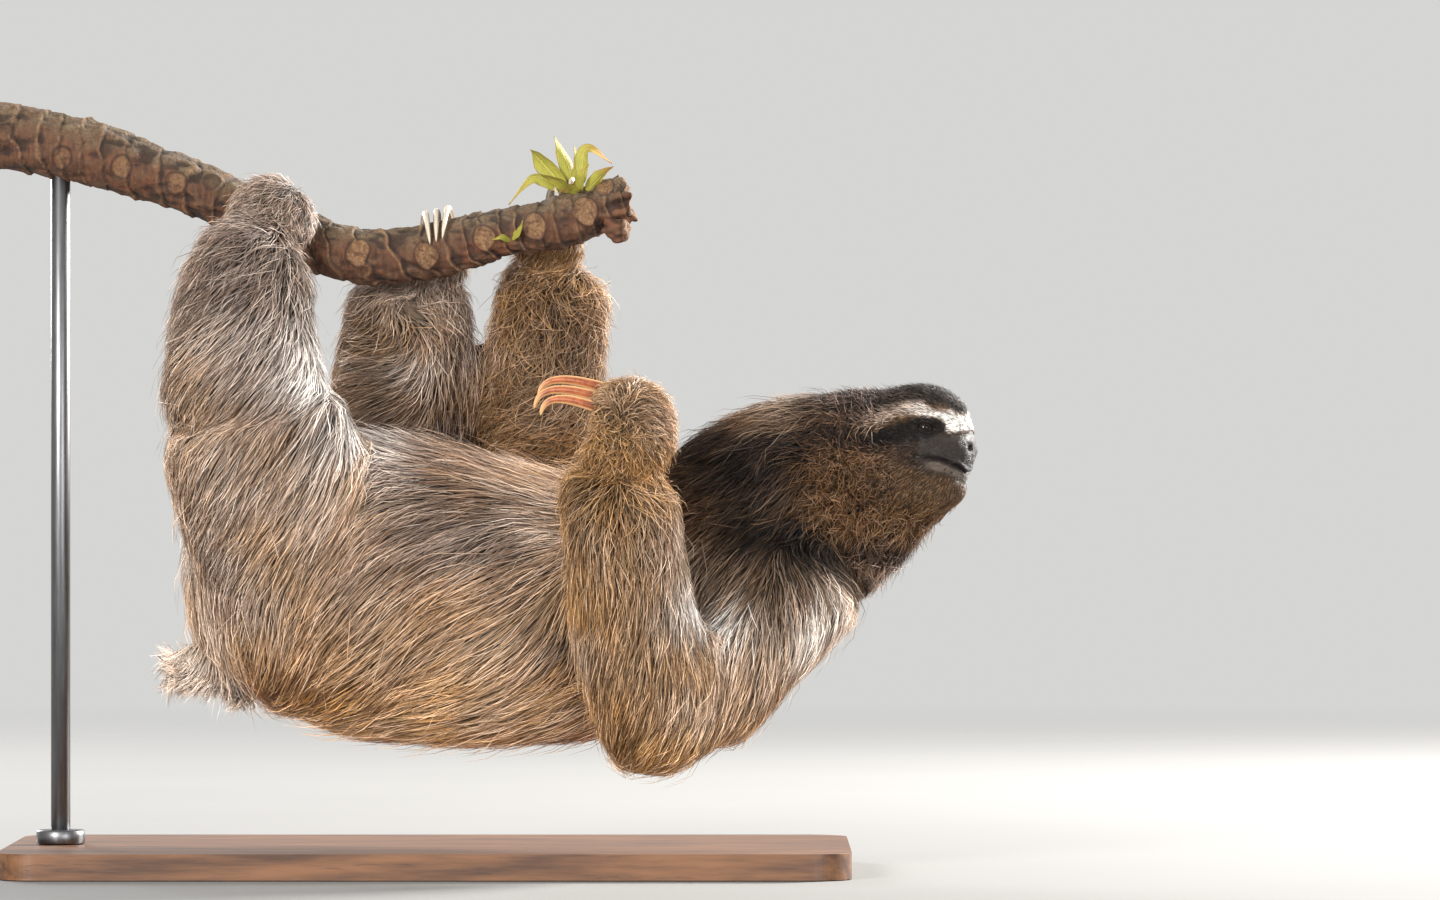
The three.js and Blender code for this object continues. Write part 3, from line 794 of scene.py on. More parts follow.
def marks_at(points, weights):
    """How warm, pale and dark the coat is at these places, given each node's share there."""
    marks = weights @ np.array([BASE_MARKS[kind_of(node)] for node in FLESH])
    for node, place, size, change in PATCHES:
        near = bell(side_distance(points, place), size)
        marks += (near * share_of(weights, node))[:, None] * np.array(change)
    marks[:, 0] += 0.12 * waves(points, 34, 3)
    marks[:, 1] += 0.05 * waves(points, 26, 4)
    marks[:, 2] += 0.05 * waves(points, 30, 5)
    local = head_space(points)
    area = face_areas(local)
    head = share_of(weights, *HEAD_NODES)

    def lay(share, values):
        """Paints these marks over the head, where the share is above 0."""
        nonlocal marks
        share = (share * head)[:, None]
        marks = marks * (1 - share) + share * np.array(values)

    height = local[:, 2]
    lay(step(-20, -46, height), (0.95, 0.0, 0.66))
    lay(step(-48, -54, height), (0.4, 0.0, 0.95))
    lay(step(-60, -68, height), (0.55, 0.16, 0.42))
    lay(area["crown"], (0.0, 0.16, 1.0))
    lay(area["behind_brow"], (0.1, 0.1, 0.97))
    lay(area["chin"] * 0.9, (0.95, 0.12, 0.7))
    lay(area["brow"] * 0.9 * step(1.0, 0.8, area["on_brow"]), (0.3, 0.24, 0.22))
    lay(area["brow"] * step(0.72, 0.3, area["on_brow"]) * 0.9, (0.06, 0.84, 0.02))
    lay(area["white"], (0.0, 1.0, 0.0))
    lay(area["muzzle"], (0.4, 0.0, 0.88))
    lay(area["stripe"], (0.2, 0.0, 0.97))
    lay(area["patch"], (0.1, 0.0, 0.98))
    lay(area["snout"], (0.0, 0.1, 0.84))
    lay(area["lip"], (0.1, 0.05, 0.8))
    return np.clip(marks, 0, 1)


def lie_at(points, weights):
    """Which way the hair lies at these places, before it is laid flat on the skin."""
    lie = np.zeros_like(points)
    for index, node in enumerate(FLESH):
        far = node.endswith("_right") and kind_of(node) in FAR_STROKES
        strokes = (FAR_STROKES if far else STROKES).get(kind_of(node))
        if not strokes:
            continue
        own = np.zeros_like(points)
        for x, z, degrees, reach in strokes:
            near = bell(side_distance(points, (x, z)), reach) + 1e-7
            turn = math.radians(degrees)
            own += near[:, None] * np.array([math.cos(turn), 0.0, math.sin(turn)])
        lie += weights[:, index, None] * unit(own)
    for node, centre, reach, strength, spin in WHORLS:
        away = points - np.array(centre)
        near = bell(np.linalg.norm(away, axis=1), reach) * share_of(weights, node)
        round_it = np.stack([-away[:, 2], 0 * away[:, 0], away[:, 0]], 1)
        swirl = (1 - spin) * unit(away) + spin * unit(round_it)
        lie += strength * near[:, None] * swirl
    # On the head it lies backwards and aside, downwards on the cheeks and upwards on the brow.
    x, y, z = head_space(points).T
    rise = -0.25 - 0.9 * step(5, -30, z) + 0.5 * step(10, 24, x) * step(4, 16, z)
    back = np.stack([-np.ones(len(points)), np.sign(y) * 0.25, rise], 1)
    return lie + share_of(weights, *HEAD_NODES)[:, None] * unit(turned_by_head(back))


# ---- The skin -----------------------------------------------------------------------------------

VOXEL = 3.3  # size of the skin's cells, before the face gets finer ones
SWELL = 0.6  # closes the gaps between the solids
SAMPLE_SPACING = 3.0  # of the points that tell which node a vertex belongs to


def surface_samples(nodes, spacing, seed):
    """Points spread over these nodes' surfaces, and which node each is on."""
    rng = np.random.default_rng(seed)
    places, owners = [], []
    for index, node in enumerate(nodes):
        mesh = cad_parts[node].data
        points, corners = points_of(mesh), triangles_of(mesh)[0]
        area = triangle_areas(points, corners)
        count = int(area.sum() / spacing ** 2)
        chosen = rng.choice(len(area), count, p=area / area.sum())
        a, b = rng.random((2, count, 1))
        a, b = np.where(a + b > 1, 1 - a, a), np.where(a + b > 1, 1 - b, b)
        first, second, third = points[corners[chosen]].transpose(1, 0, 2)
        places.append(first + a * (second - first) + b * (third - first))
        owners.append(np.full(count, index))
    return np.concatenate(places), np.concatenate(owners)


def node_shares(points, edges, rounds):
    """Each node's share at each vertex of the body, blended across the joints."""
    places, owners = surface_samples(FLESH, SAMPLE_SPACING, 11)
    owner = owners[nearest(tree_of(places), points)]
    shares = np.zeros((len(points), len(FLESH)))
    shares[np.arange(len(points)), owner] = 1.0
    return spread(shares, edges, rounds)


CHEEK_AT, CHEEK_SIZE = (282.0, 246.0), (50.0, 46.0)  # x and z


def with_wide_cheeks(points, shares):
    """Gives the head's short hair to the front of the neck too."""
    away = np.hypot(
        (points[:, 0] - CHEEK_AT[0]) / CHEEK_SIZE[0], (points[:, 2] - CHEEK_AT[1]) / CHEEK_SIZE[1]
    )
    neck, head = FLESH.index("neck"), FLESH.index("head")
    moved = shares[:, neck] * step(1.1, 0.85, away + 0.06 * waves(points, 12, 45))
    shares[:, neck] -= moved
    shares[:, head] += moved
    return shares


def smoothed(points, edges, rounds, where=1.0):
    """Smooths without shrinking: each round moves the points in and then out again."""
    for _ in range(rounds):
        points = spread(points, edges, 1, 0.5 * where)
        points = spread(points, edges, 1, -0.52 * where)
    return points


FILL_ROUNDS = 180
MOST_FILL = 11.0  # the most that a hollow is filled


def filled(mesh, points, edges, shares):
    """Fills the hollows at the joints of the limbs, so that the coat runs over them, and makes
    the body fuller or leaner where FULLER says so."""
    limb = share_of(shares, *LIMB_NODES, "tail")
    head = share_of(shares, "head")
    rate = (0.25 + 0.75 * step(0.0, 0.3, limb)) * (1 - head)
    start = points
    for round_number in range(FILL_ROUNDS):
        if round_number % 20 == 0:
            place_points(mesh, points)
            outward = unit(spread(normals_of(mesh), edges, 2))
        mean = spread(points, edges, 1, 1.0)
        rise = np.maximum(along_normal(mean - points, outward), 0)
        so_far = np.linalg.norm(points - start, axis=1)
        points = points + outward * rise * (rate * step(MOST_FILL, 0.5 * MOST_FILL, so_far))[:, None]
    for nodes, place, size, amount in FULLER:
        near = bell(side_distance(start, place), size)
        points = points + outward * (near * share_of(shares, *nodes) * amount)[:, None]
    points = points + share_of(shares, "tail")[:, None] * TAIL_SHIFT
    return smoothed(points, edges, 4, 1 - head)


# Where the coat starts, at each hand and foot, it is thin: middle and how far that reaches.
COAT_STARTS = [
    ((-97, -28, 405), 62), ((-8, 34, 380), 50), ((79, 36, 393), 56), ((125, -112, 272), 62),
]
THIN_COAT = 3.6  # depth of the coat there
FACE_COAT = 1.6  # and on the front of the face


def thin_start(points):
    thin = np.zeros(len(points))
    for middle, reach in COAT_STARTS:
        away = np.linalg.norm(points - np.array(middle), axis=1)
        thin = np.maximum(thin, np.exp(-((away / reach) ** 4)))
    return thin


def coat_depth(points, shares):
    """How far the skin lies inside the coat's outer surface."""
    depth = shares @ np.array([COAT[kind_of(node)][0] for node in FLESH])
    depth = depth + (THIN_COAT - depth) * thin_start(points)
    local = head_space(points)
    area = face_areas(local)
    own = 5.5 + 3.0 * step(-8, -45, local[:, 2])
    own = mixed(own, FACE_COAT, area["front"]) * (1 - 0.75 * area["snout"])
    return mixed(depth, own, share_of(shares, "head"))


def refined(mesh, chosen):
    """Splits every edge whose two ends are chosen, given their places in millimetres."""
    work = bmesh.new()
    work.from_mesh(mesh)
    marked = chosen(points_of(mesh))
    work.verts.ensure_lookup_table()
    edges = [
        edge for edge in work.edges if marked[edge.verts[0].index] and marked[edge.verts[1].index]
    ]
    bmesh.ops.subdivide_edges(work, edges=edges, cuts=1, use_grid_fill=True)
    finer = bpy.data.meshes.new(mesh.name)
    work.to_mesh(finer)
    work.free()
    return finer


def eye_frame(sign):
    """The eye's middle, and its outward, forward and upward directions, in the head's frame."""
    outward = unit(np.array([0.34, sign * 0.93, 0.1]))
    forward = unit(np.array([0.93, -sign * 0.34, -0.12]))
    forward = unit(forward - outward * (forward @ outward))
    upward = np.cross(forward, outward) * -sign
    upward *= np.sign(upward[2])
    return EYE_AT * (1, sign, 1), outward, forward, upward


# How the face is pushed out (or, below 0, in): place in the head's own frame, size and amount.
# What isn't on the middle plane is on both sides.
FACE_BUMPS = [
    ((30, 22, 24), (11, 9, 5), 1.5),  # brow
    ((19, 24, 13), (8, 8, 6), -2.2),  # behind the eye
    ((38, 16, 13), (6, 6, 5), -1.4),  # in front of the eye
    ((24, 24, 1), (9, 8, 6), 0.9),  # cheekbone
    ((52, 0, 6), (6, 9, 4), 0.8),  # top of the nose
    (NOSTRIL_AT, (2.9, 2.2, 2.1), -3.6),
    ((51, 11, 2), (3, 2.4, 3.6), 0.4),  # wing of the nose
    ((54, 0, -15), (6, 12, 3.4), -1.8),  # the lower lip tucks under the upper
    ((58, 0, -1.5), (5, 0.9, 5), -0.8),  # between the nostrils
    ((57, 0, -11), (5, 0.8, 4), -0.7),  # under the nose
]
# Along the mouth: height over its line, half width and amount.
MOUTH_CUT = (0, 0.85, -2.3)
UPPER_LIP = (2.6, 1.8, 0.9)
LOWER_LIP = (-2.7, 1.8, 0.7)
UNDER_LIP = (-8.0, 2.4, -0.8)


def pushed_face(local):
    """How far the head's skin is pushed out for the nose, the lips and the brow."""
    x, y, z = local.T
    push = np.zeros(len(local))
    for at, sizes, amount in FACE_BUMPS:
        for sign in (1, -1) if at[1] else (1,):
            away = (local - np.array(at) * (1, sign, 1)) / sizes
            push += amount * np.exp(-(away ** 2).sum(1))
    from_mouth = z - mouth_height(x)

    def along_mouth(height, half_width, amount):
        return amount * bell(from_mouth - height, half_width)

    near_mouth = step(17, 24, x)
    push += along_mouth(*MOUTH_CUT) * near_mouth
    push += along_mouth(*UPPER_LIP) * near_mouth * step(28, 40, x)
    push += along_mouth(*LOWER_LIP) * near_mouth
    push += along_mouth(*UNDER_LIP) * step(30, 40, x)
    return push * step(0, 8, x) * (np.abs(y) < 45)


def sculpted_face(points, normals):
    """Eye sockets and lids, nostrils, mouth, lips and brow, cut into the head's skin."""
    local = head_space(points)
    out = turned(normals, -HEAD_YAW)
    local = local + out * pushed_face(local)[:, None]
    for sign in (1, -1):
        middle, outward, forward, upward = eye_frame(sign)
        away = local - middle
        height = away @ outward
        ahead, above = away @ forward, away @ upward
        off_axis = np.hypot(ahead, above)
        # The opening is an almond, lower at the back, with a fuller upper lid.
        tall = np.where(above > -0.1 * ahead, 2.9, 2.5)
        opening = np.sqrt((ahead / 5.0) ** 2 + ((above + 0.1 * ahead) / tall) ** 2)
        dome = np.sqrt(np.maximum((EYE_RADIUS + 0.85) ** 2 - off_axis ** 2, 0.0))
        ball = np.sqrt(np.maximum(EYE_RADIUS ** 2 - off_axis ** 2, 0.0))
        lid = dome + 0.35 * bell(opening - 1.12, 0.12)
        over = step(7.6, 5.2, off_axis)
        raised = np.maximum(height, height * (1 - over) + lid * over)
        inside = step(1.06, 0.94, opening)
        target = raised * (1 - inside) + (ball - 1.6) * inside
        crease = 0.5 * bell(opening - 1.75, 0.16) * step(7.8, 6.0, off_axis)
        near = (height > -6) & (off_axis < 8)
        change = np.where(near, target - crease - height, 0.0)
        local = local + outward * change[:, None]
    return from_head(local)


SINKS = 4  # steps in which the skin goes down by the coat's depth


def sunk_skin():
    """The skin, by the coat's depth inside the solids, with each vertex's place and its shares."""
    mesh = changed_by(merged_copy(FLESH, SWELL), "REMESH", mode="VOXEL", voxel_size=VOXEL * METRE)
    edges = edges_of(mesh)
    points = smoothed(points_of(mesh), edges, 5)
    shares = with_wide_cheeks(points, node_shares(points, edges, 14))
    points = filled(mesh, points, edges, shares)
    depth = spread(coat_depth(points, shares), edges, 4)
    for _ in range(SINKS):
        place_points(mesh, points)
        inward = unit(spread(normals_of(mesh), edges, 3))
        points = smoothed(points - inward * (depth / SINKS)[:, None], edges, 2)
    place_points(mesh, points)
    return mesh, points, shares


def finer_parts(points):
    """Where the skin's triangles are cut finer, one time after another."""
    local = mirrored(head_space(points))
    x, y, z = local.T
    near_eye = np.linalg.norm(local - EYE_AT, axis=1) < 10
    return (
        (x > 2) & (z > -40) & (y < 46),
        (x > 12) & (z > -32) & (z < 32) & (y < 40),
        near_eye | ((x > 36) & (z < 8) & (z > -16)),
    )


def with_fine_face(mesh):
    """The skin with finer triangles at the face, and the face cut into them."""
    for level in range(3):
        mesh = refined(mesh, lambda points, level=level: finer_parts(points)[level])
        fine = finer_parts(points_of(mesh))[level].astype(float)
        place_points(mesh, smoothed(points_of(mesh), edges_of(mesh), 4, fine))
    points = sculpted_face(points_of(mesh), normals_of(mesh))
    on_face = step(10, 16, head_space(points)[:, 0])
    place_points(mesh, smoothed(points, edges_of(mesh), 1, on_face))
    return mesh


class Skin:
    """The one skin of the whole animal, and all that the coat needs to know about it."""

    def __init__(self):
        coarse_mesh, coarse, coarse_shares = sunk_skin()
        self.mesh = with_fine_face(coarse_mesh)
        self.mesh.name = "skin"
        self.points = points_of(self.mesh)
        self.edges = edges_of(self.mesh)
        self.normals = unit(spread(normals_of(self.mesh), self.edges, 2))
        owner = nearest(tree_of(coarse), self.points)
        self.shares = spread(coarse_shares[owner], self.edges, 3)
        self.marks = marks_at(self.points, self.shares)
        self.tree = tree_of(self.points)
        self.local = head_space(self.points)
        self.area = face_areas(self.local)
        self.head = share_of(self.shares, *HEAD_NODES)
        self.lie = self.laid_flat(lie_at(self.points, self.shares))
        self.measure_coat()

    def laid_flat(self, lie):
        """The lie of the coat as directions along the skin, smooth from each to the next."""
        lie = unit(lie - self.normals * along_normal(lie, self.normals))
        for _ in range(5):
            lie = spread(lie, self.edges, 3)
            lie = unit(lie - self.normals * along_normal(lie, self.normals))
        return lie

    def measure_coat(self):
        """Depth, length, width and closeness of the hairs at every vertex."""
        table = self.shares @ np.array([COAT[kind_of(node)] for node in FLESH])
        depth, length, width, layers = table.T
        x, _, z = self.local.T
        area, head = self.area, self.head
        front = area["front"]
        own_length = 12.0 + 6.0 * step(-20, -50, z) - 1.5 * area["crown"]
        own_length = mixed(mixed(own_length, 5.5, front), 3.0, area["patch"])
        own_length *= 1 - 0.4 * area["white"]
        own_depth = coat_depth(self.points, self.shares)
        own_depth *= 1 - 0.3 * front + 0.7 * area["crown"] * step(0, 25, x)
        bald = np.maximum(area["snout"] * 0.97, area["lip"] * 0.9) * head
        to_eye = np.linalg.norm(mirrored(self.local) - EYE_AT, axis=1)
        layers = mixed(layers, 3.4 - 0.9 * front, head) * (1 - bald) * step(5.6, 7.4, to_eye)
        self.start = thin_start(self.points) * (1 - head)
        self.depth = mixed(depth, own_depth, head) + 2.0 * self.start
        self.length = mixed(length, own_length, head) * (1 - 0.38 * self.start)
        self.width = mixed(width, 0.4 - 0.1 * front, head)
        self.free = share_of(self.shares, "tail")
        for *place, size, share in FREE_PLACES:
            near = share * bell(side_distance(self.points, place), size)
            self.free = np.maximum(self.free, near)
            self.length *= 1 - 0.7 * near
        # Painted shade along the crease under the cheek, on the near side only.
        to_crease, _ = to_line(self.points[:, [0, 2]], CREASE_SHADE_LINE)
        self.crease = step(9.0, 3.0, to_crease) * share_of(self.shares, "neck", "head", "trunk")
        self.crease *= self.points[:, 1] < 0
        self.closeness = layers / (self.length * self.width) * (1 + 0.8 * self.free)
        self.fit_to_limit()

    def fit_to_limit(self):
        """Scales the closeness so that all the hairs together have COAT_TRIANGLES triangles."""
        corners = triangles_of(self.mesh)[0]
        sizes = triangle_areas(self.points, corners)
        short = share_of(self.shares, *HEAD_NODES)
        each = HAIR_TRIANGLES - SHORT_SAVES * step(0.45, 0.55, short)
        cost = self.closeness * each
        self.closeness *= COAT_TRIANGLES / (sizes * cost[corners].mean(1)).sum()

    def unwrap(self):
        """Unwraps the skin, for its own bake and for the place of every hair on it."""
        holder = bpy.data.objects.new("holder", self.mesh)
        bpy.context.scene.collection.objects.link(holder)
        bpy.context.view_layer.objects.active = holder
        holder.select_set(True)
        self.mesh.uv_layers.new(name="OFBake")
        bpy.ops.object.mode_set(mode="EDIT")
        bpy.ops.mesh.select_all(action="SELECT")
        bpy.ops.uv.smart_project(angle_limit=math.radians(70), island_margin=0.002)
        bpy.ops.object.mode_set(mode="OBJECT")
        bpy.data.objects.remove(holder)
        flat = np.empty(len(self.mesh.loops) * 2, np.float32)
        self.mesh.uv_layers["OFBake"].data.foreach_get("uv", flat)
        self.uv = flat.reshape(-1, 2)

    def finish(self, material):
        """Writes what the skin's finish needs to know, and puts the skin in place of the flesh."""
        area, head = self.area, self.head
        local = mirrored(self.local)
        x, y, z = local.T
        near_eye = step(9.5, 7.0, np.linalg.norm(local - EYE_AT, axis=1))
        from_mouth = z - mouth_height(x)
        mouth = bell(from_mouth, 1.2 + 2.2 * step(36, 50, x)) * step(18, 26, x) * head
        nostril = np.linalg.norm((local - NOSTRIL_AT) / (1.3, 1.0, 1.0), axis=1)
        between = 0.9 * step(3.4, 1.6, np.hypot(x - 59, z + 4.6)) * step(3, 1, y)
        # Near black along the mouth's slit, in the nostrils and between them: painted shade in these
        # hollows. Round the eyes it is the dark bare skin.
        dark = np.maximum(mouth, near_eye * 0.85)
        dark = np.maximum(dark, step(3.0, 1.7, nostril))
        dark = np.maximum(dark, between)
        bare = np.maximum(area["snout"], area["lip"]) * head
        bare = np.maximum(bare, near_eye * head)
        # Paler on the lower lip and on top of the snout: painted highlight where light falls on them,
        # with the lip's own paler skin.
        paler = area["lip"] * step(-1.8, -3.6, from_mouth) * step(26, 34, x)
        paler = np.maximum(paler, 0.25 * step(4.5, 8.0, z) * step(34, 48, x) * area["snout"])
        write_attribute(self.mesh, "marks", self.marks)
        write_attribute(self.mesh, "face", np.stack([bare, np.clip(dark, 0, 1), paler], 1))
        set_smooth(self.mesh)
        add_piece(self.mesh, material, FLESH)


# ---- The coat -----------------------------------------------------------------------------------

UV_PATCH = 0.003
BURIED = 1.2  # how far a hair's root is under the skin
BARK_RISE = 2.0  # the most that the bark stands out from the branch's own radius
LONGEST_PIECE = 16200  # hairs
COAT_SEED = 2024
LOCK = 13  # hairs that lean on one another
# For hairs with two rings of corners or one: where the root, the rings and the tip are along the
# hair, and how thick it is at the rings.
SHARES = {2: (0.0, 0.3, 0.68, 1.0), 1: (0.0, 0.42, 1.0)}
GIRTH = {2: (1.0, 0.85), 1: (1.0,)}


def hair_template(rings):
    """Triangles of one closed hair of three sides, and each corner's place in its UV patch."""
    faces, places = [], []
    shares = SHARES[rings]
    for k in range(3):
        m = (k + 1) % 3
        left, right, middle = k / 3, (k + 1) / 3, (k + 0.5) / 3
        faces.append((0, 1 + m, 1 + k))
        places.append(((middle, 0.0), (right, shares[1]), (left, shares[1])))
        for ring in range(rings - 1):
            low, high = 1 + 3 * ring, 4 + 3 * ring
            t, u = shares[ring + 1], shares[ring + 2]
            faces.append((low + k, low + m, high + m))
            places.append(((left, t), (right, t), (right, u)))
            faces.append((low + k, high + m, high + k))
            places.append(((left, t), (right, u), (left, u)))
        last = 3 * rings - 2
        faces.append((last + k, last + m, 3 * rings + 1))
        places.append(((left, shares[-2]), (right, shares[-2]), (middle, 1.0)))
    return np.array(faces), np.array(places)


def sample_roots(skin, rng):
    """Places of all the hairs' roots: face, corner weights, spread by how close the hairs are."""
    corners, loops = triangles_of(skin.mesh)
    area = triangle_areas(skin.points, corners)
    wanted = area * skin.closeness[corners].mean(1)
    count = int(wanted.sum())
    chosen = np.sort(rng.choice(len(wanted), count, p=wanted / wanted.sum()))
    u, v = rng.random((2, count))
    u, v = np.where(u + v > 1, 1 - u, u), np.where(u + v > 1, 1 - v, v)
    weights = np.stack([1 - u - v, u, v], 1)
    return corners[chosen], loops[chosen], weights


def grown(skin, roots, hair, rings):
    """Each hair's points, from under its root along the lie of the coat to its tip."""
    shares = SHARES[rings]
    vertex = nearest(skin.tree, roots)
    place = roots.copy()
    path = [roots - skin.normals[vertex] * BURIED]
    first_lie, first_normal = skin.lie[vertex], skin.normals[vertex]
    free = hair["free"][:, None]
    for k in range(1, len(shares)):
        share = (shares[k] + shares[k - 1]) / 2
        turn = hair["turn"] + hair["curl"] * share
        lie, normal = skin.lie[vertex], skin.normals[vertex]
        heading = lie * np.cos(turn)[:, None] + np.cross(normal, lie) * np.sin(turn)[:, None]
        place = place + heading * (hair["length"] * (shares[k] - shares[k - 1]))[:, None]
        vertex = nearest(skin.tree, place)
        normal = skin.normals[vertex]
        place = place - normal * along_normal(place - skin.points[vertex], normal)
        rise = hair["depth"] * hair["lift"] * (1 - (1 - shares[k]) ** 1.7)
        flown = unit(heading * 0.25 + first_lie * 0.55 + first_normal * 0.45)
        flown = roots + flown * (hair["length"] * shares[k])[:, None] + first_normal * rise[:, None]
        path.append((place + normal * rise[:, None]) * (1 - free) + flown * free)
    return np.stack(path, 1)


def gathered(path, roots, rng, rings, strength):
    """Leans each hair on its lock's middle hair, more towards the tip."""
    leaders = rng.choice(len(roots), max(1, len(roots) // LOCK), replace=False)
    lock = nearest(tree_of(roots[leaders]), roots)
    leader = leaders[lock]
    for k, share in enumerate(SHARES[rings]):
        pull = (strength * share ** 1.4)[:, None]
        path[:, k] += (path[leader, k] - path[:, k]) * pull
    return path, lock


def off_the_branch(path):
    """Moves what would be inside the branch out to its bark."""
    xs, heights, radii = branch_curve()
    middle = np.interp(path[..., 0], xs, heights)
    radius = np.interp(path[..., 0], xs, radii) + BARK_RISE
    off = np.stack([path[..., 1], path[..., 2] - middle], -1)
    away = np.linalg.norm(off, axis=-1)
    near = (away < radius) & (path[..., 0] < xs[-1])
    grow = np.where(near, radius / np.maximum(away, 0.1), 1.0)
    path = path.copy()
    path[..., 1] = off[..., 0] * grow
    path[..., 2] = off[..., 1] * grow + middle
    return path


def hairs_mesh(name, path, width, up, rings, values, uv):
    """Closed three-sided hairs along these paths."""
    count = len(path)
    points = np.empty((count, 3 * rings + 2, 3))
    points[:, 0] = path[:, 0]
    points[:, -1] = path[:, -1]
    for ring in range(rings):
        run = unit(path[:, ring + 2] - path[:, ring])
        side = unit(np.cross(run, up))
        top = np.cross(side, run)
        for k in range(3):
            angle = math.pi / 2 + k * 2 * math.pi / 3
            offset = math.cos(angle) * side + 0.75 * math.sin(angle) * top
            girth = (width * GIRTH[rings][ring] / 2)[:, None]
            points[:, 1 + 3 * ring + k] = path[:, ring + 1] + offset * girth
    faces, places = hair_template(rings)
    faces = (faces[None] + np.arange(count)[:, None, None] * (3 * rings + 2)).reshape(-1, 3)
    mesh = mesh_from(name, points.reshape(-1, 3), faces)
    along = np.array([0.0] + [t for t in SHARES[rings][1:-1] for _ in range(3)] + [1.0])
    strand = np.empty((count, 3 * rings + 2, 3))
    strand[:, :, 0] = along
    strand[:, :, 1] = values["shade"][:, None]
    strand[:, :, 2] = values["tone"][:, None]
    marks = np.repeat(values["marks"][:, None], 3 * rings + 2, 1)
    write_attribute(mesh, "strand", strand.reshape(-1, 3))
    write_attribute(mesh, "marks", marks.reshape(-1, 3))
    centre = np.clip(uv, UV_PATCH, 1 - UV_PATCH)
    corners = centre[:, None, None] + (places[None] - 0.5) * UV_PATCH
    layer = mesh.uv_layers.new(name="OFBake")
    layer.data.foreach_set("uv", corners.astype(np.float32).ravel())
    return mesh


# Which hairs make one piece: its name, its nodes, the side of the body, its slot, and whether its
# hairs are the short kind, with one ring of corners.
COAT_PIECES = [
    ("coat_trunk_left", ("trunk", "tail"), -1, "coat", False),
    ("coat_trunk_right", ("trunk", "tail"), 1, "coat", False),
    ("coat_neck", ("neck",), 0, "dark_coat", False),
    ("coat_head", HEAD_NODES, 0, "dark_coat", True),
    ("coat_arm_left", ("upper_arm_left", "forearm_left"), 0, "coat", False),
    ("coat_arm_right", ("upper_arm_right", "forearm_right"), 0, "coat", False),
    ("coat_leg_left", ("thigh_left", "shank_left"), 0, "coat", False),
    ("coat_leg_right", ("thigh_right", "shank_right"), 0, "coat", False),
    ("coat_hands", ("hand_left", "hand_right"), 0, "coat", False),
    ("coat_feet", ("foot_left", "foot_right"), 0, "coat", False),
]


def make_coat(skin, material):
    """Plants all the hairs at once, then grows them piece by piece."""
    rng = np.random.default_rng(COAT_SEED)
    corners, loops, weights = sample_roots(skin, rng)

    def at_root(values):
        return (values[corners] * weights.reshape(*weights.shape, *[1] * (values.ndim - 1))).sum(1)

    roots = at_root(skin.points)
    uv = (skin.uv[loops] * weights[:, :, None]).sum(1)
    owner = skin.shares[corners[:, 0]].argmax(1)
    normals = unit(at_root(skin.normals))
    traits = {
        "length": at_root(skin.length), "depth": at_root(skin.depth),
        "width": at_root(skin.width), "marks": at_root(skin.marks),
        "head": at_root(skin.head), "front": at_root(skin.area["front"]),
        "start": at_root(skin.start), "white": at_root(skin.area["white"]),
        "eye_patch": at_root(np.maximum(skin.area["patch"], skin.area["stripe"]) * skin.head),
        "crown": at_root(skin.area["crown"] * skin.head * step(0, 25, skin.local[:, 0])),
        "free": at_root(skin.free), "crease": at_root(skin.crease),
        "tangled": at_root(share_of(skin.shares, "forearm_right")),
    }
    for name, nodes, side, slot_name, short in COAT_PIECES:
        chosen = np.isin(owner, [FLESH.index(node) for node in nodes])
        if side:
            chosen &= roots[:, 1] * side > 0
        chosen = np.flatnonzero(chosen)
        rings = 1 if short else 2
        limit = LONGEST_PIECE * (2 if short else 1)
        parts = max(1, math.ceil(len(chosen) / limit))
        chosen = chosen[np.argsort(roots[chosen, 0], kind="stable")]
        for number, part in enumerate(np.array_split(chosen, parts), 1):
            label = f"{name}_{number}" if parts > 1 else name
            own_traits = {key: value[part] for key, value in traits.items()}
            mesh = grow_piece(
                label, skin, roots[part], normals[part], uv[part], own_traits, rings, rng
            )
            add_piece(mesh, material)


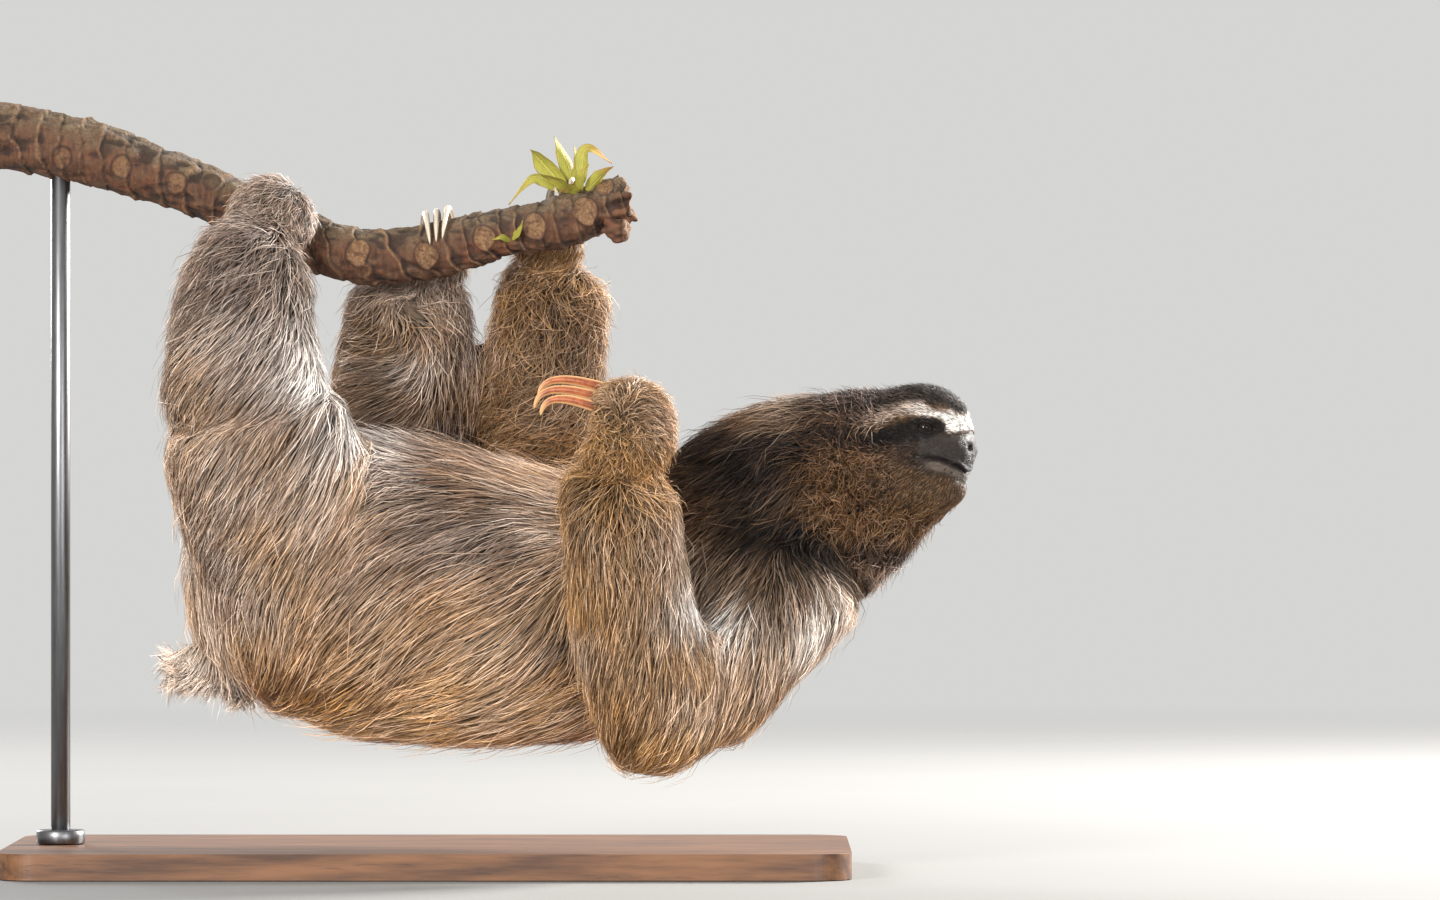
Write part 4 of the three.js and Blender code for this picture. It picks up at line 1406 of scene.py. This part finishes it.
def hair_values(traits, lift, lock, light_hair_and_highlight, curly, eye_marks_and_crease_shade, rng):
    """What the hairs' finish needs to know: how light each hair is, its tone and its marks."""
    count = len(lock)
    lock_shade = rng.normal(0, 1, lock.max() + 1)[lock]
    lock_tone = rng.normal(0, 1, lock.max() + 1)[lock]
    own_shade, own_tone = rng.normal(0, 1, (2, count))
    _, pale, dark = traits["marks"].T
    marks = traits["marks"] + 0.05 * lock_tone[:, None] * (1, 0.4, -0.6)
    marks += rng.normal(0, 0.09, (count, 3)) * (1.2, 0.7, 0.8)
    straight_dark = dark * (1 - curly)
    # Highlit hairs are paler and lighter: painted highlight on lighter hairs.
    brighter = light_hair_and_highlight * (1 - 0.45 * dark - 0.2 * straight_dark)
    marks -= brighter[:, None] * np.array([0.1, -0.09, 0.16])
    marks -= (light_hair_and_highlight * curly)[:, None] * np.array([0.16, -0.08, 0.14])
    # Hairs that lie low are darker and hairs that stand high are lighter: painted shade in the coat's
    # depth, with some dirt.
    shade = 0.12 + 0.05 * lock_shade + 0.15 * own_shade + 0.34 * np.clip(lift, 0, 1.1)
    # In pale areas the highlit hairs get lighter, and on the body the pale patches get lighter still:
    # painted sunlight. The face's white band is made lighter as its own colour.
    shade += light_hair_and_highlight * (0.26 - 0.12 * straight_dark + 0.34 * pale) + 0.14 * traits["white"]
    shade += 0.26 * step(0.5, 1.0, pale) * (1 - traits["head"]) - 0.22 * eye_marks_and_crease_shade
    tone = 0.16 + 0.2 * lock_tone + 0.25 * own_tone
    tone += 1.3 * dark * (1 - traits["crown"]) * (1 - traits["white"])
    tone *= 1 - 0.6 * light_hair_and_highlight * (1 - curly)
    return {
        "shade": np.clip(shade, 0, 1), "tone": np.clip(tone, 0, 1.6), "marks": np.clip(marks, 0, 1),
    }


def grow_piece(name, skin, roots, normals, uv, traits, rings, rng):
    """A mesh of hairs from these roots. The traits are the coat's own at each root."""
    count = len(roots)
    curly = traits["head"] * (1 - traits["front"])
    under = rng.random(count) < UNDERCOAT
    whorl_x, _, whorl_z = WHORLS[0][1]
    rough = 0.3 * traits["start"] + 1.3 * bell(side_distance(roots, (whorl_x, whorl_z)), 9)
    # The eye patch and stripe are dark marks; the crease gets painted shade. Both darken the hairs and
    # keep them from being highlit.
    eye_marks_and_crease_shade = np.maximum(traits["eye_patch"], traits["crease"])
    often = (0.28 + 0.3 * traits["marks"][:, 1] + 0.08 * curly) * (1 - eye_marks_and_crease_shade)
    # Some hairs are lighter than the rest: lighter hairs, made brighter still as painted highlights.
    light_hair_and_highlight = (rng.random(count) < often) & ~under
    stray = rng.random(count) < 0.05 + 0.06 * curly + 0.05 * rough
    messy = 0.05 + 0.04 * light_hair_and_highlight + 0.15 * traits["marks"][:, 2] ** 2 + 0.45 * curly + 0.2 * stray
    messy = messy + rough + 0.22 * traits["tangled"]
    length = traits["length"] * rng.uniform(0.7, 1.15, count)
    low_lift = rng.uniform(0.2, 0.55, count)
    high_lift = rng.uniform(0.5, 1.08, count) + stray * rng.uniform(0.1, 0.8, count)
    high_lift += traits["crown"] * rng.uniform(0, 0.7, count)
    turn = 0.07 * waves(roots, 24, 21) + 0.03 * waves(roots, 8, 22)
    turn += rng.normal(0, 1, count) * messy
    curl = rng.normal(0, 1, count) * (0.1 + 0.9 * curly + rough + 0.6 * traits["tangled"])
    hair = {
        "length": length, "depth": traits["depth"], "free": traits["free"],
        "lift": np.where(under, low_lift, high_lift), "turn": turn, "curl": curl,
    }
    path = grown(skin, roots, hair, rings)
    strength = np.where(stray | light_hair_and_highlight, 0.0, 0.3 - 0.18 * curly - 0.1 * rough)
    path, lock = gathered(path, roots, rng, rings, strength)
    path = off_the_branch(path)
    values = hair_values(traits, hair["lift"], lock, light_hair_and_highlight, curly, eye_marks_and_crease_shade, rng)
    wider = np.where(under, 3.6, np.where(light_hair_and_highlight, 1.05 - 0.1 * traits["tangled"], 0.95))
    width = traits["width"] * rng.uniform(0.8, 1.2, count) * wider
    return hairs_mesh(name, path, width, normals, rings, values, uv)


# ---- Eyes, claws, branch, leaves and stand ------------------------------------------------------


def grid_mesh(name, rows):
    """A mesh over rows of points that each go once round, with its ends closed, and its points."""
    rows = np.asarray(rows, float)
    count, around = rows.shape[:2]
    corner = np.arange(count * around).reshape(count, around)
    low, high = corner[:-1], corner[1:]
    quads = np.stack([low, np.roll(low, -1, 1), np.roll(high, -1, 1), high], -1).reshape(-1, 4)
    points = np.concatenate([rows.reshape(-1, 3), [rows[0].mean(0), rows[-1].mean(0)]])
    first, last = len(points) - 2, len(points) - 1
    start = np.stack([np.roll(corner[0], -1), corner[0], np.full(around, first)], 1)
    end = np.stack([corner[-1], np.roll(corner[-1], -1), np.full(around, last)], 1)
    triangles = np.concatenate([quads[:, [0, 1, 2]], quads[:, [0, 2, 3]], start, end])
    return mesh_from(name, points, triangles), points


EYE_RINGS, EYE_AROUND = 40, 56


def make_eyes(material):
    """Both eyeballs, each a ball with a low bulge in front."""
    for side, sign in SIDES.items():
        middle, outward, forward, upward = eye_frame(sign)
        turn = np.linspace(0.02, math.pi - 0.02, EYE_RINGS)[:, None]
        around = np.linspace(0, 2 * math.pi, EYE_AROUND, endpoint=False)[None, :]
        radius = EYE_RADIUS + 0.28 * bell(turn, 0.5)
        flat = radius * np.sin(turn)
        local = (
            middle
            + (radius * np.cos(turn) + 0 * around)[..., None] * outward
            + (flat * np.cos(around))[..., None] * forward
            + (flat * np.sin(around))[..., None] * upward * sign
        )
        mesh, points = grid_mesh(f"eyeball_{side}", from_head(local))
        place = head_space(points) - middle
        angle = np.arccos(np.clip(unit(place) @ outward, -1, 1))
        circling = np.arctan2(place @ upward, place @ forward)
        iris = np.stack([angle, circling, np.zeros(len(points))], 1)
        write_attribute(mesh, "iris", iris)
        add_piece(mesh, material, [f"eye_{side}"])


CLAW_RADIUS = 2.7
CLAW_WIDTH = 0.72  # for a height of 1
CLAW_SPACING = 8.4
CLAW_ALONG, CLAW_AROUND = 30, 22
BRANCH_RADIUS = 17.0  # as the claws know it
BRANCH_LINE = np.array([
    (-274, 457, 20), (-205, 443, 19.5), (-143, 421, 17), (-96, 398, 16.6), (-50, 382, 17.2),
    (-12, 382, 17), (20, 388, 16.6), (50, 396, 15), (84, 403, 15.6), (123, 416, 14.5),
], float)  # x, z and radius


def on_curve(stations, share):
    """A smooth curve through stations, at shares 0-1 of the way along it."""
    stations = np.asarray(stations, float)
    ends = np.concatenate([
        [2 * stations[0] - stations[1]], stations, [2 * stations[-1] - stations[-2]]
    ])
    place = np.clip(np.asarray(share, float), 0, 1) * (len(stations) - 1)
    k = np.minimum(place.astype(int), len(stations) - 2)
    t = (place - k)[:, None]
    a, b, c, d = ends[k], ends[k + 1], ends[k + 2], ends[k + 3]
    return 0.5 * (
        2 * b + (c - a) * t + (2 * a - 5 * b + 4 * c - d) * t ** 2 + (3 * b - a - 3 * c + d) * t ** 3
    )


def branch_curve():
    """x, height and radius at many places along the branch."""
    return on_curve(BRANCH_LINE, np.linspace(0, 1, 400)).T


def gripping_claw(x, lean, start, stop):
    """A claw over the branch, from one angle round it to another: its middle line, half height
    and side. Lean is how far its tip bends aside."""
    share = np.linspace(0, 1, CLAW_ALONG)
    size = 1.3 * CLAW_RADIUS * (1 - 0.66 * share ** 1.8)
    angle = np.radians(start + (stop - start) * share)
    reach = BRANCH_RADIUS + 3.2 + size
    xs, heights, _ = branch_curve()
    centre = np.interp(x, xs, heights)
    line = np.stack(
        [x + lean * share ** 1.5, reach * np.cos(angle), centre + reach * np.sin(angle)], 1
    )
    return line, size, np.array([1.0, 0.0, 0.0])


def free_claw(at, length, drop):
    """A claw that ends in the air: its middle line, half height and side."""
    share = np.linspace(0, 1, CLAW_ALONG)
    size = (CLAW_RADIUS + 1.0) * (1 - 0.7 * share ** 1.8)
    line = np.stack([
        at[0] - length * np.sin(share * 1.5),
        at[1] + 2 * share,
        at[2] + 7 * np.sin(share * math.pi * 0.8) - drop * share ** 3,
    ], 1)
    return line, size, np.array([0.0, 1.0, 0.0])


def make_claw(name, node, shape, material):
    """One claw, from its middle line, half height and side."""
    line, size, side = shape
    run = unit(np.gradient(line, axis=0))
    up = unit(np.cross(run, side))
    across = np.cross(up, run)
    share = np.linspace(0, 1, len(line))
    taper = size * np.minimum(1, np.sqrt(np.maximum(1 - share ** 14, 0.0) + 0.004))
    angle = np.linspace(0, 2 * math.pi, CLAW_AROUND, endpoint=False)
    # A claw's back is round and its underside is flatter, with a shallow channel.
    profile = np.where(np.sin(angle) < 0, 0.8, 1.0) + 0.04 * np.cos(6 * angle)
    reach = (taper[:, None] * profile)[..., None]
    rows = (
        line[:, None]
        + (np.cos(angle) * CLAW_WIDTH)[None, :, None] * reach * across[:, None]
        + np.sin(angle)[None, :, None] * reach * up[:, None]
    )
    mesh, _ = grid_mesh(name, rows)
    along = np.concatenate([np.repeat(share, CLAW_AROUND), [0, 1]])
    turn = np.concatenate([np.tile(angle, len(line)), [0, 0]])
    write_attribute(mesh, "claw", np.stack([along, np.cos(turn), np.abs(np.sin(turn)) ** 3], 1))
    add_piece(mesh, material, [node])


def make_claws(dull, amber):
    grips = {"foot_left": (-97, 150, 20), "foot_right": (4, 28, 168), "hand_right": (82, 30, 118)}
    for label, (middle, start, stop) in grips.items():
        for number in (1, 2, 3):
            off = (number - 2) * CLAW_SPACING
            shape = gripping_claw(middle + off, 0.6 - 0.55 * off, start, stop)
            make_claw(f"nail_{label}_{number}", f"claw_{label}_{number}", shape, dull)
    free = [((112, -101, 298), 43, 10), ((110, -110, 292), 43, 11), ((107, -119, 286), 36, 9)]
    for number, numbers in enumerate(free, 1):
        label = f"hand_left_{number}"
        make_claw(f"nail_{label}", f"claw_{label}", free_claw(*numbers), amber)


# Leaf scars: x, degrees up from the side that faces -Y, half size, and how plain they are to see.
SCARS = [
    (-262, 6, 6, 0.5), (-225, -20, 7, 0.55), (-189, -10, 7, 0.6), (-156, -4, 7, 0.6),
    (-138, 30, 6, 0.4), (-44, 5, 7.5, 1), (-2, -9, 7.5, 1), (34, 0, 7, 1), (65, -2, 7.5, 1),
    (97, 4, 8, 1), (112, 48, 6, 0.9), (-240, 150, 7, 0.7), (-170, 170, 7, 0.8), (-70, 200, 7.5, 1),
    (-20, 165, 7, 1), (48, 190, 7.5, 1), (92, 170, 7, 1), (60, -80, 6, 0.8), (-30, 260, 7, 0.8),
]


BRANCH_AROUND = 96
BRANCH_RINGS = 380
CAP_SIZES = (0.93, 0.7, 0.4, 0.12)  # of the rings of corners that close each end
BUD_VOXEL = 0.9


def bark_relief(places, along_x, angle, gone, radius):
    """Height of the bark over the branch's radius, its scars, a mask for painted highlight on its edges
    and painted shadow in its grooves, and its flakes, for all rings.
    """

    def rough(size, seed, count=12, squeeze=1.0):
        """Noise over all the places."""
        return waves(places * (squeeze, 1, 1), size, seed, count)

    # Each length of bark rises slowly and drops at a slanting edge, closer together at the tip.
    spacing = 17 - 5 * step(-80, 60, along_x)
    turns = np.cumsum(np.concatenate([[0], np.diff(gone) / spacing[1:]]))[:, None]
    turns = turns + 0.34 * np.cos(angle - 0.6) + 0.3 * rough(55, 61) + 0.07 * rough(9, 71)
    gone_by = turns % 1
    tooth = gone_by * step(1.0, 0.93, gone_by)
    edge_strength = 0.45 + 0.55 * step(-0.5, 0.9, rough(22, 72))
    edge = bell(gone_by - 0.9, 0.05) * edge_strength
    groove = bell(gone_by - 0.04, 0.05) + bell(gone_by - 1.02, 0.05)
    flakes = step(0.5, 0.62, rough(6, 65, 20, 0.8))
    height = 0.85 * tooth * edge_strength + 0.75 * edge - 0.5 * groove
    height += 0.5 * rough(30, 62) + 0.4 * rough(8, 63) + 0.3 * rough(3.6, 64, 24, 0.5)
    height += 0.5 * flakes + step(100, 122, along_x)[:, None] * 1.6 * rough(5, 73)
    scar = np.zeros_like(height)
    wobble = 0.05 * rough(5, 74)
    for x, degrees, size, plain in SCARS:
        at = np.interp(x, along_x, gone)
        turn = (angle - math.radians(degrees) + math.pi) % (2 * math.pi) - math.pi
        off = np.hypot((gone[:, None] - at) / size, turn * radius / (size * 1.15)) + wobble
        mark = step(1.2, 0.55, off) * plain
        scar = np.maximum(scar, mark)
        height = height * (1 - 0.7 * mark) + plain * 1.9 * bell(off - 0.95, 0.22)
        height += plain * (0.9 * bell(off, 0.3) + 0.5 * step(1.0, 0.8, off))
    return height, scar, edge - groove, flakes


def end_cap(rim, outward, size, amount):
    """Smaller and smaller rings of corners that close an end of the branch."""
    middle = rim.mean(0)
    rings = [middle + (rim - middle) * share for share in CAP_SIZES]
    return [ring + outward * (0.6 + amount * waves(ring, size, 67)[:, None]) for ring in rings]


def make_branch(material):
    """The branch with its bark: sawn across at its -X end, broken at its +X end."""
    x, height, thick = on_curve(BRANCH_LINE, np.linspace(0, 1, BRANCH_RINGS)).T
    line = np.stack([x, 0 * x, height], 1)
    run = unit(np.gradient(line, axis=0))
    deep = np.array([0.0, -1.0, 0.0])
    up = np.cross(run, deep)
    up *= np.sign(up[:, 2:3])
    angle = np.linspace(0, 2 * math.pi, BRANCH_AROUND, endpoint=False)
    radius = thick[:, None] * np.ones(BRANCH_AROUND)
    radial = np.cos(angle)[None, :, None] * deep + np.sin(angle)[None, :, None] * up[:, None]
    base = line[:, None] + radial * radius[..., None]
    gone = np.cumsum(np.concatenate([[0], np.linalg.norm(np.diff(line, axis=0), axis=1)]))
    relief, scar, edges, flakes = bark_relief(base, x, angle, gone, radius)
    rows = base + radial * (relief - 0.6)[..., None]
    splinters = 2.2 * waves(base[-1], 5, 66)
    rows[-1] += run[-1] * (splinters[:, None] - 1.0)
    sawn = end_cap(rows[0], -run[0], 4, 0.25)
    broken = end_cap(rows[-1], run[-1], 5, 0.9)
    rows = np.concatenate([np.array(sawn)[::-1], rows, np.array(broken)])
    mesh, _ = grid_mesh("branch_bark", rows[:, ::-1])

    def padded(values, at_ends):
        """Values for all corners of the mesh, from those of the rings between its ends."""
        ends = np.full((len(CAP_SIZES), BRANCH_AROUND), at_ends)
        values = np.concatenate([ends, values, ends])
        return np.concatenate([values[:, ::-1].ravel(), [at_ends, at_ends]])

    # The top of the branch, where its finish paints light from above.
    top_light = step(-0.1, 0.9, np.sin(angle)) * np.ones_like(radius)
    # The bark attribute: scars, painted highlight and shadow at edges and grooves, and height.
    bark = [padded(scar, 0), padded(edges, 0), padded(relief, 0)]
    grain = [padded(top_light, 0), padded(0 * top_light, 1), padded(flakes, 0)]
    write_attribute(mesh, "bark", np.stack(bark, 1))
    write_attribute(mesh, "grain", np.stack(grain, 1))
    add_piece(mesh, material, ["branch"])


def make_bud(material):
    """The broken bud at the branch's tip, with rough bark."""
    mesh = changed_by(
        merged_copy(["branch_bud"]), "REMESH", mode="VOXEL", voxel_size=BUD_VOXEL * METRE
    )
    mesh.name = "broken_bud"
    place_points(mesh, smoothed(points_of(mesh), edges_of(mesh), 8))
    points = points_of(mesh)
    height = waves(points, 3.0, 68) * 0.8 + 0.5
    place_points(mesh, points + normals_of(mesh) * height[:, None])
    set_smooth(mesh)
    tip = step(117, 122, points[:, 0])
    write_attribute(mesh, "bark", np.stack([tip * 0.9, 0 * tip, height], 1))
    write_attribute(mesh, "grain", np.stack([0 * tip, 0 * tip, 0.4 + 0 * tip], 1))
    add_piece(mesh, material, ["branch_bud"])


# Leaves at the branch's end: foot, widest point, tip, half width, and how pink they are.
LEAVES = [
    ((83, -5, 421), (64, -9, 429), (49, -11, 412), 5.0, 0.35),
    ((84, -1, 423), (69, 2, 440), (62, 4, 447), 8.0, 0.1),
    ((89, 2, 424), (83, 3, 443), (77, 5, 455), 6.0, 0.15),
    ((94, -3, 425), (97, -4, 446), (113, -6, 438), 5.5, 0.9),
    ((97, -8, 421), (106, -12, 430), (114, -11, 436), 5.0, 0.8),
]
# More leaves, too small to be solids of their own, with two on a shoot on the branch's side.
SMALL_LEAVES = [
    ((88, -6, 420), (79, -15, 427), (68, -19, 431), 4.6, 0.2),
    ((91, 2, 422), (93, 4, 436), (89, 6, 449), 5.4, 0.1),
    ((91, -8, 419), (87, -15, 423), (80, -20, 419), 3.8, 0.7),
    ((99, -2, 420), (109, 2, 425), (119, 3, 428), 4.2, 0.7),
    ((92, -5, 420), (95, -14, 430), (99, -17, 437), 4.0, 0.3),
    ((50, -13, 390), (45, -20, 392), (39, -22, 390), 2.6, 0.1),
    ((51, -13, 391), (56, -20, 395), (58, -22, 402), 2.8, 0.1),
]


LEAF_ALONG, LEAF_AROUND = 34, 28


def make_leaves(material):
    """Twisted, cupped leaves; the small ones replace no node."""
    share = np.linspace(0, 1, LEAF_ALONG)
    for number, (foot, middle, tip, wide, pink) in enumerate(LEAVES + SMALL_LEAVES, 1):
        line = on_curve([foot, middle, tip], share)
        run = unit(np.gradient(line, axis=0))
        across = unit(np.cross(run, np.array([0.0, 1.0, 0.0])))
        face = np.cross(across, run)
        twist = ((-1) ** number * (0.25 + 1.1 * share))[:, None]
        across, face = (
            across * np.cos(twist) + face * np.sin(twist), face * np.cos(twist) - across * np.sin(twist)
        )
        half = 0.82 * wide * np.sin(np.pi * np.clip(share, 0, 1) ** 0.8) ** 0.75 + 0.7 * (1 - share)
        half = np.maximum(half, 0.35)
        angle = np.linspace(0, 2 * math.pi, LEAF_AROUND, endpoint=False)
        sideways = np.cos(angle)[None] * half[:, None]
        thick = 0.4 * np.sin(angle) * (1 - 0.5 * np.abs(np.cos(angle)))
        cup = 0.3 * sideways ** 2 / np.maximum(wide, 1) * (1.2 if number % 2 else -1.2)
        ripple = 0.35 * np.sin(share * 19 + number)[:, None] * (sideways / wide) ** 2
        rows = (
            line[:, None] + sideways[..., None] * across[:, None]
            + (thick + cup + ripple)[..., None] * face[:, None]
        )
        mesh, _ = grid_mesh(f"young_leaf_{number}", rows)
        aside = np.concatenate([(np.abs(np.cos(angle))[None] + 0 * half[:, None]).ravel(), [0, 0]])
        along = np.concatenate([np.repeat(share, LEAF_AROUND), [0, 1]])
        write_attribute(mesh, "leaf", np.stack([aside, along, np.full(len(along), pink)], 1))
        add_piece(mesh, material, [f"leaf_{number}"] if number <= len(LEAVES) else ())


WORN = 0.8  # how far the edges of rod and collar are worn off
COLLAR_LIP = 5.0  # width of the collar's slanting top
STAND_AROUND = 64


def make_stand(wood, steel):
    """Base, rod and collar, as large as their nodes, with worn edges."""
    base = changed_by(
        merged_copy(["stand_base"]), "BEVEL", width=1.6 * METRE, segments=3, limit_method="ANGLE",
        angle_limit=math.radians(40),
    )
    base.name = "plinth"
    set_smooth(base, False)
    add_piece(base, wood, ["stand_base"])
    angle = np.linspace(0, 2 * math.pi, STAND_AROUND, endpoint=False)
    circle = np.stack([np.cos(angle), np.sin(angle), 0 * angle], 1)
    for name, node in (("post", "stand_rod"), ("post_collar", "stand_collar")):
        low, high = (np.array(corner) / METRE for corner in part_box(node))
        middle, radius = (low + high) / 2, (high[0] - low[0]) / 2
        profile = [
            (radius - WORN, low[2]), (radius, low[2] + WORN), (radius, high[2] - WORN),
            (radius - WORN, high[2]),
        ]
        if node == "stand_collar":
            profile.append((radius - COLLAR_LIP, high[2]))
        rows = [circle * r + np.array([middle[0], middle[1], z]) for r, z in profile]
        mesh, _ = grid_mesh(name, rows)
        add_piece(mesh, steel, [node])


# ---- Camera, light and floor --------------------------------------------------------------------

# In metres. The lamps shine on one place; each has its name, place, width, watts and colour.
CAMERA_AT = (0.1798, -4.96, 0.2604)
AIM = (0.03, 0.0, 0.22)
LAMPS = [
    ("key", (-1.7, -3.3, 1.3), 1.0, 172, (1.0, 0.985, 0.96)),
    ("fill", (1.6, -3.4, 0.7), 1.5, 60, (0.97, 0.985, 1.0)),
    ("rim", (2.3, 1.5, 1.35), 0.8, 320, (1.0, 0.98, 0.95)),
    ("back", (-1.7, 2.7, 1.2), 1.2, 80, (0.97, 0.98, 1.0)),
]


def make_camera():
    """A long lens, level, on the -Y side."""
    data = bpy.data.cameras.new("camera")
    data.lens = 200
    data.sensor_width = 36
    data.clip_end = 50
    camera = bpy.data.objects.new("camera", data)
    camera.location = CAMERA_AT
    camera.rotation_euler = (math.radians(90), 0, 0)
    bpy.context.scene.collection.objects.link(camera)
    bpy.context.scene.camera = camera


def soft_light(name, at, size, watts, colour):
    """A round lamp that shines on the model's middle."""
    data = bpy.data.lights.new(name, "AREA")
    data.shape = "DISK"
    data.size = size
    data.energy = watts
    data.color = colour
    lamp = bpy.data.objects.new(name, data)
    lamp.location = at
    lamp.rotation_euler = (Vector(AIM) - Vector(at)).to_track_quat("-Z", "Y").to_euler()
    bpy.context.scene.collection.objects.link(lamp)


def make_studio():
    """Lamps, an even pale backdrop and a floor under the stand."""
    for lamp in LAMPS:
        soft_light(*lamp)
    world = bpy.data.worlds.new("studio")
    world.use_nodes = True
    backdrop = world.node_tree.nodes["Background"]
    backdrop.inputs["Color"].default_value = srgb(228, 228, 226)
    backdrop.inputs["Strength"].default_value = 0.86
    bpy.context.scene.world = world
    bpy.ops.mesh.primitive_circle_add(
        vertices=96, radius=3.6, fill_type="NGON", location=(0, 0, -0.0005)
    )
    floor = bpy.context.object
    floor.name = "studio_floor"
    floor.data.materials.append(floor_finish())
    bpy.context.scene.view_settings.view_transform = "Standard"


# ---- Putting it together ------------------------------------------------------------------------

make_camera()
skin = Skin()
skin.unwrap()
skin.finish(skin_finish())
make_coat(skin, hair_finish())
make_eyes(eye_finish())
make_claws(
    claw_finish("dull_claw", srgb(158, 140, 118), srgb(198, 186, 166), srgb(96, 76, 60)),
    claw_finish("amber_claw", srgb(166, 92, 50), srgb(216, 172, 120), srgb(96, 38, 20)),
)
bark = bark_finish()
make_branch(bark)
make_bud(bark)
make_leaves(leaf_finish())
make_stand(wood_finish(), steel_finish())
make_studio()
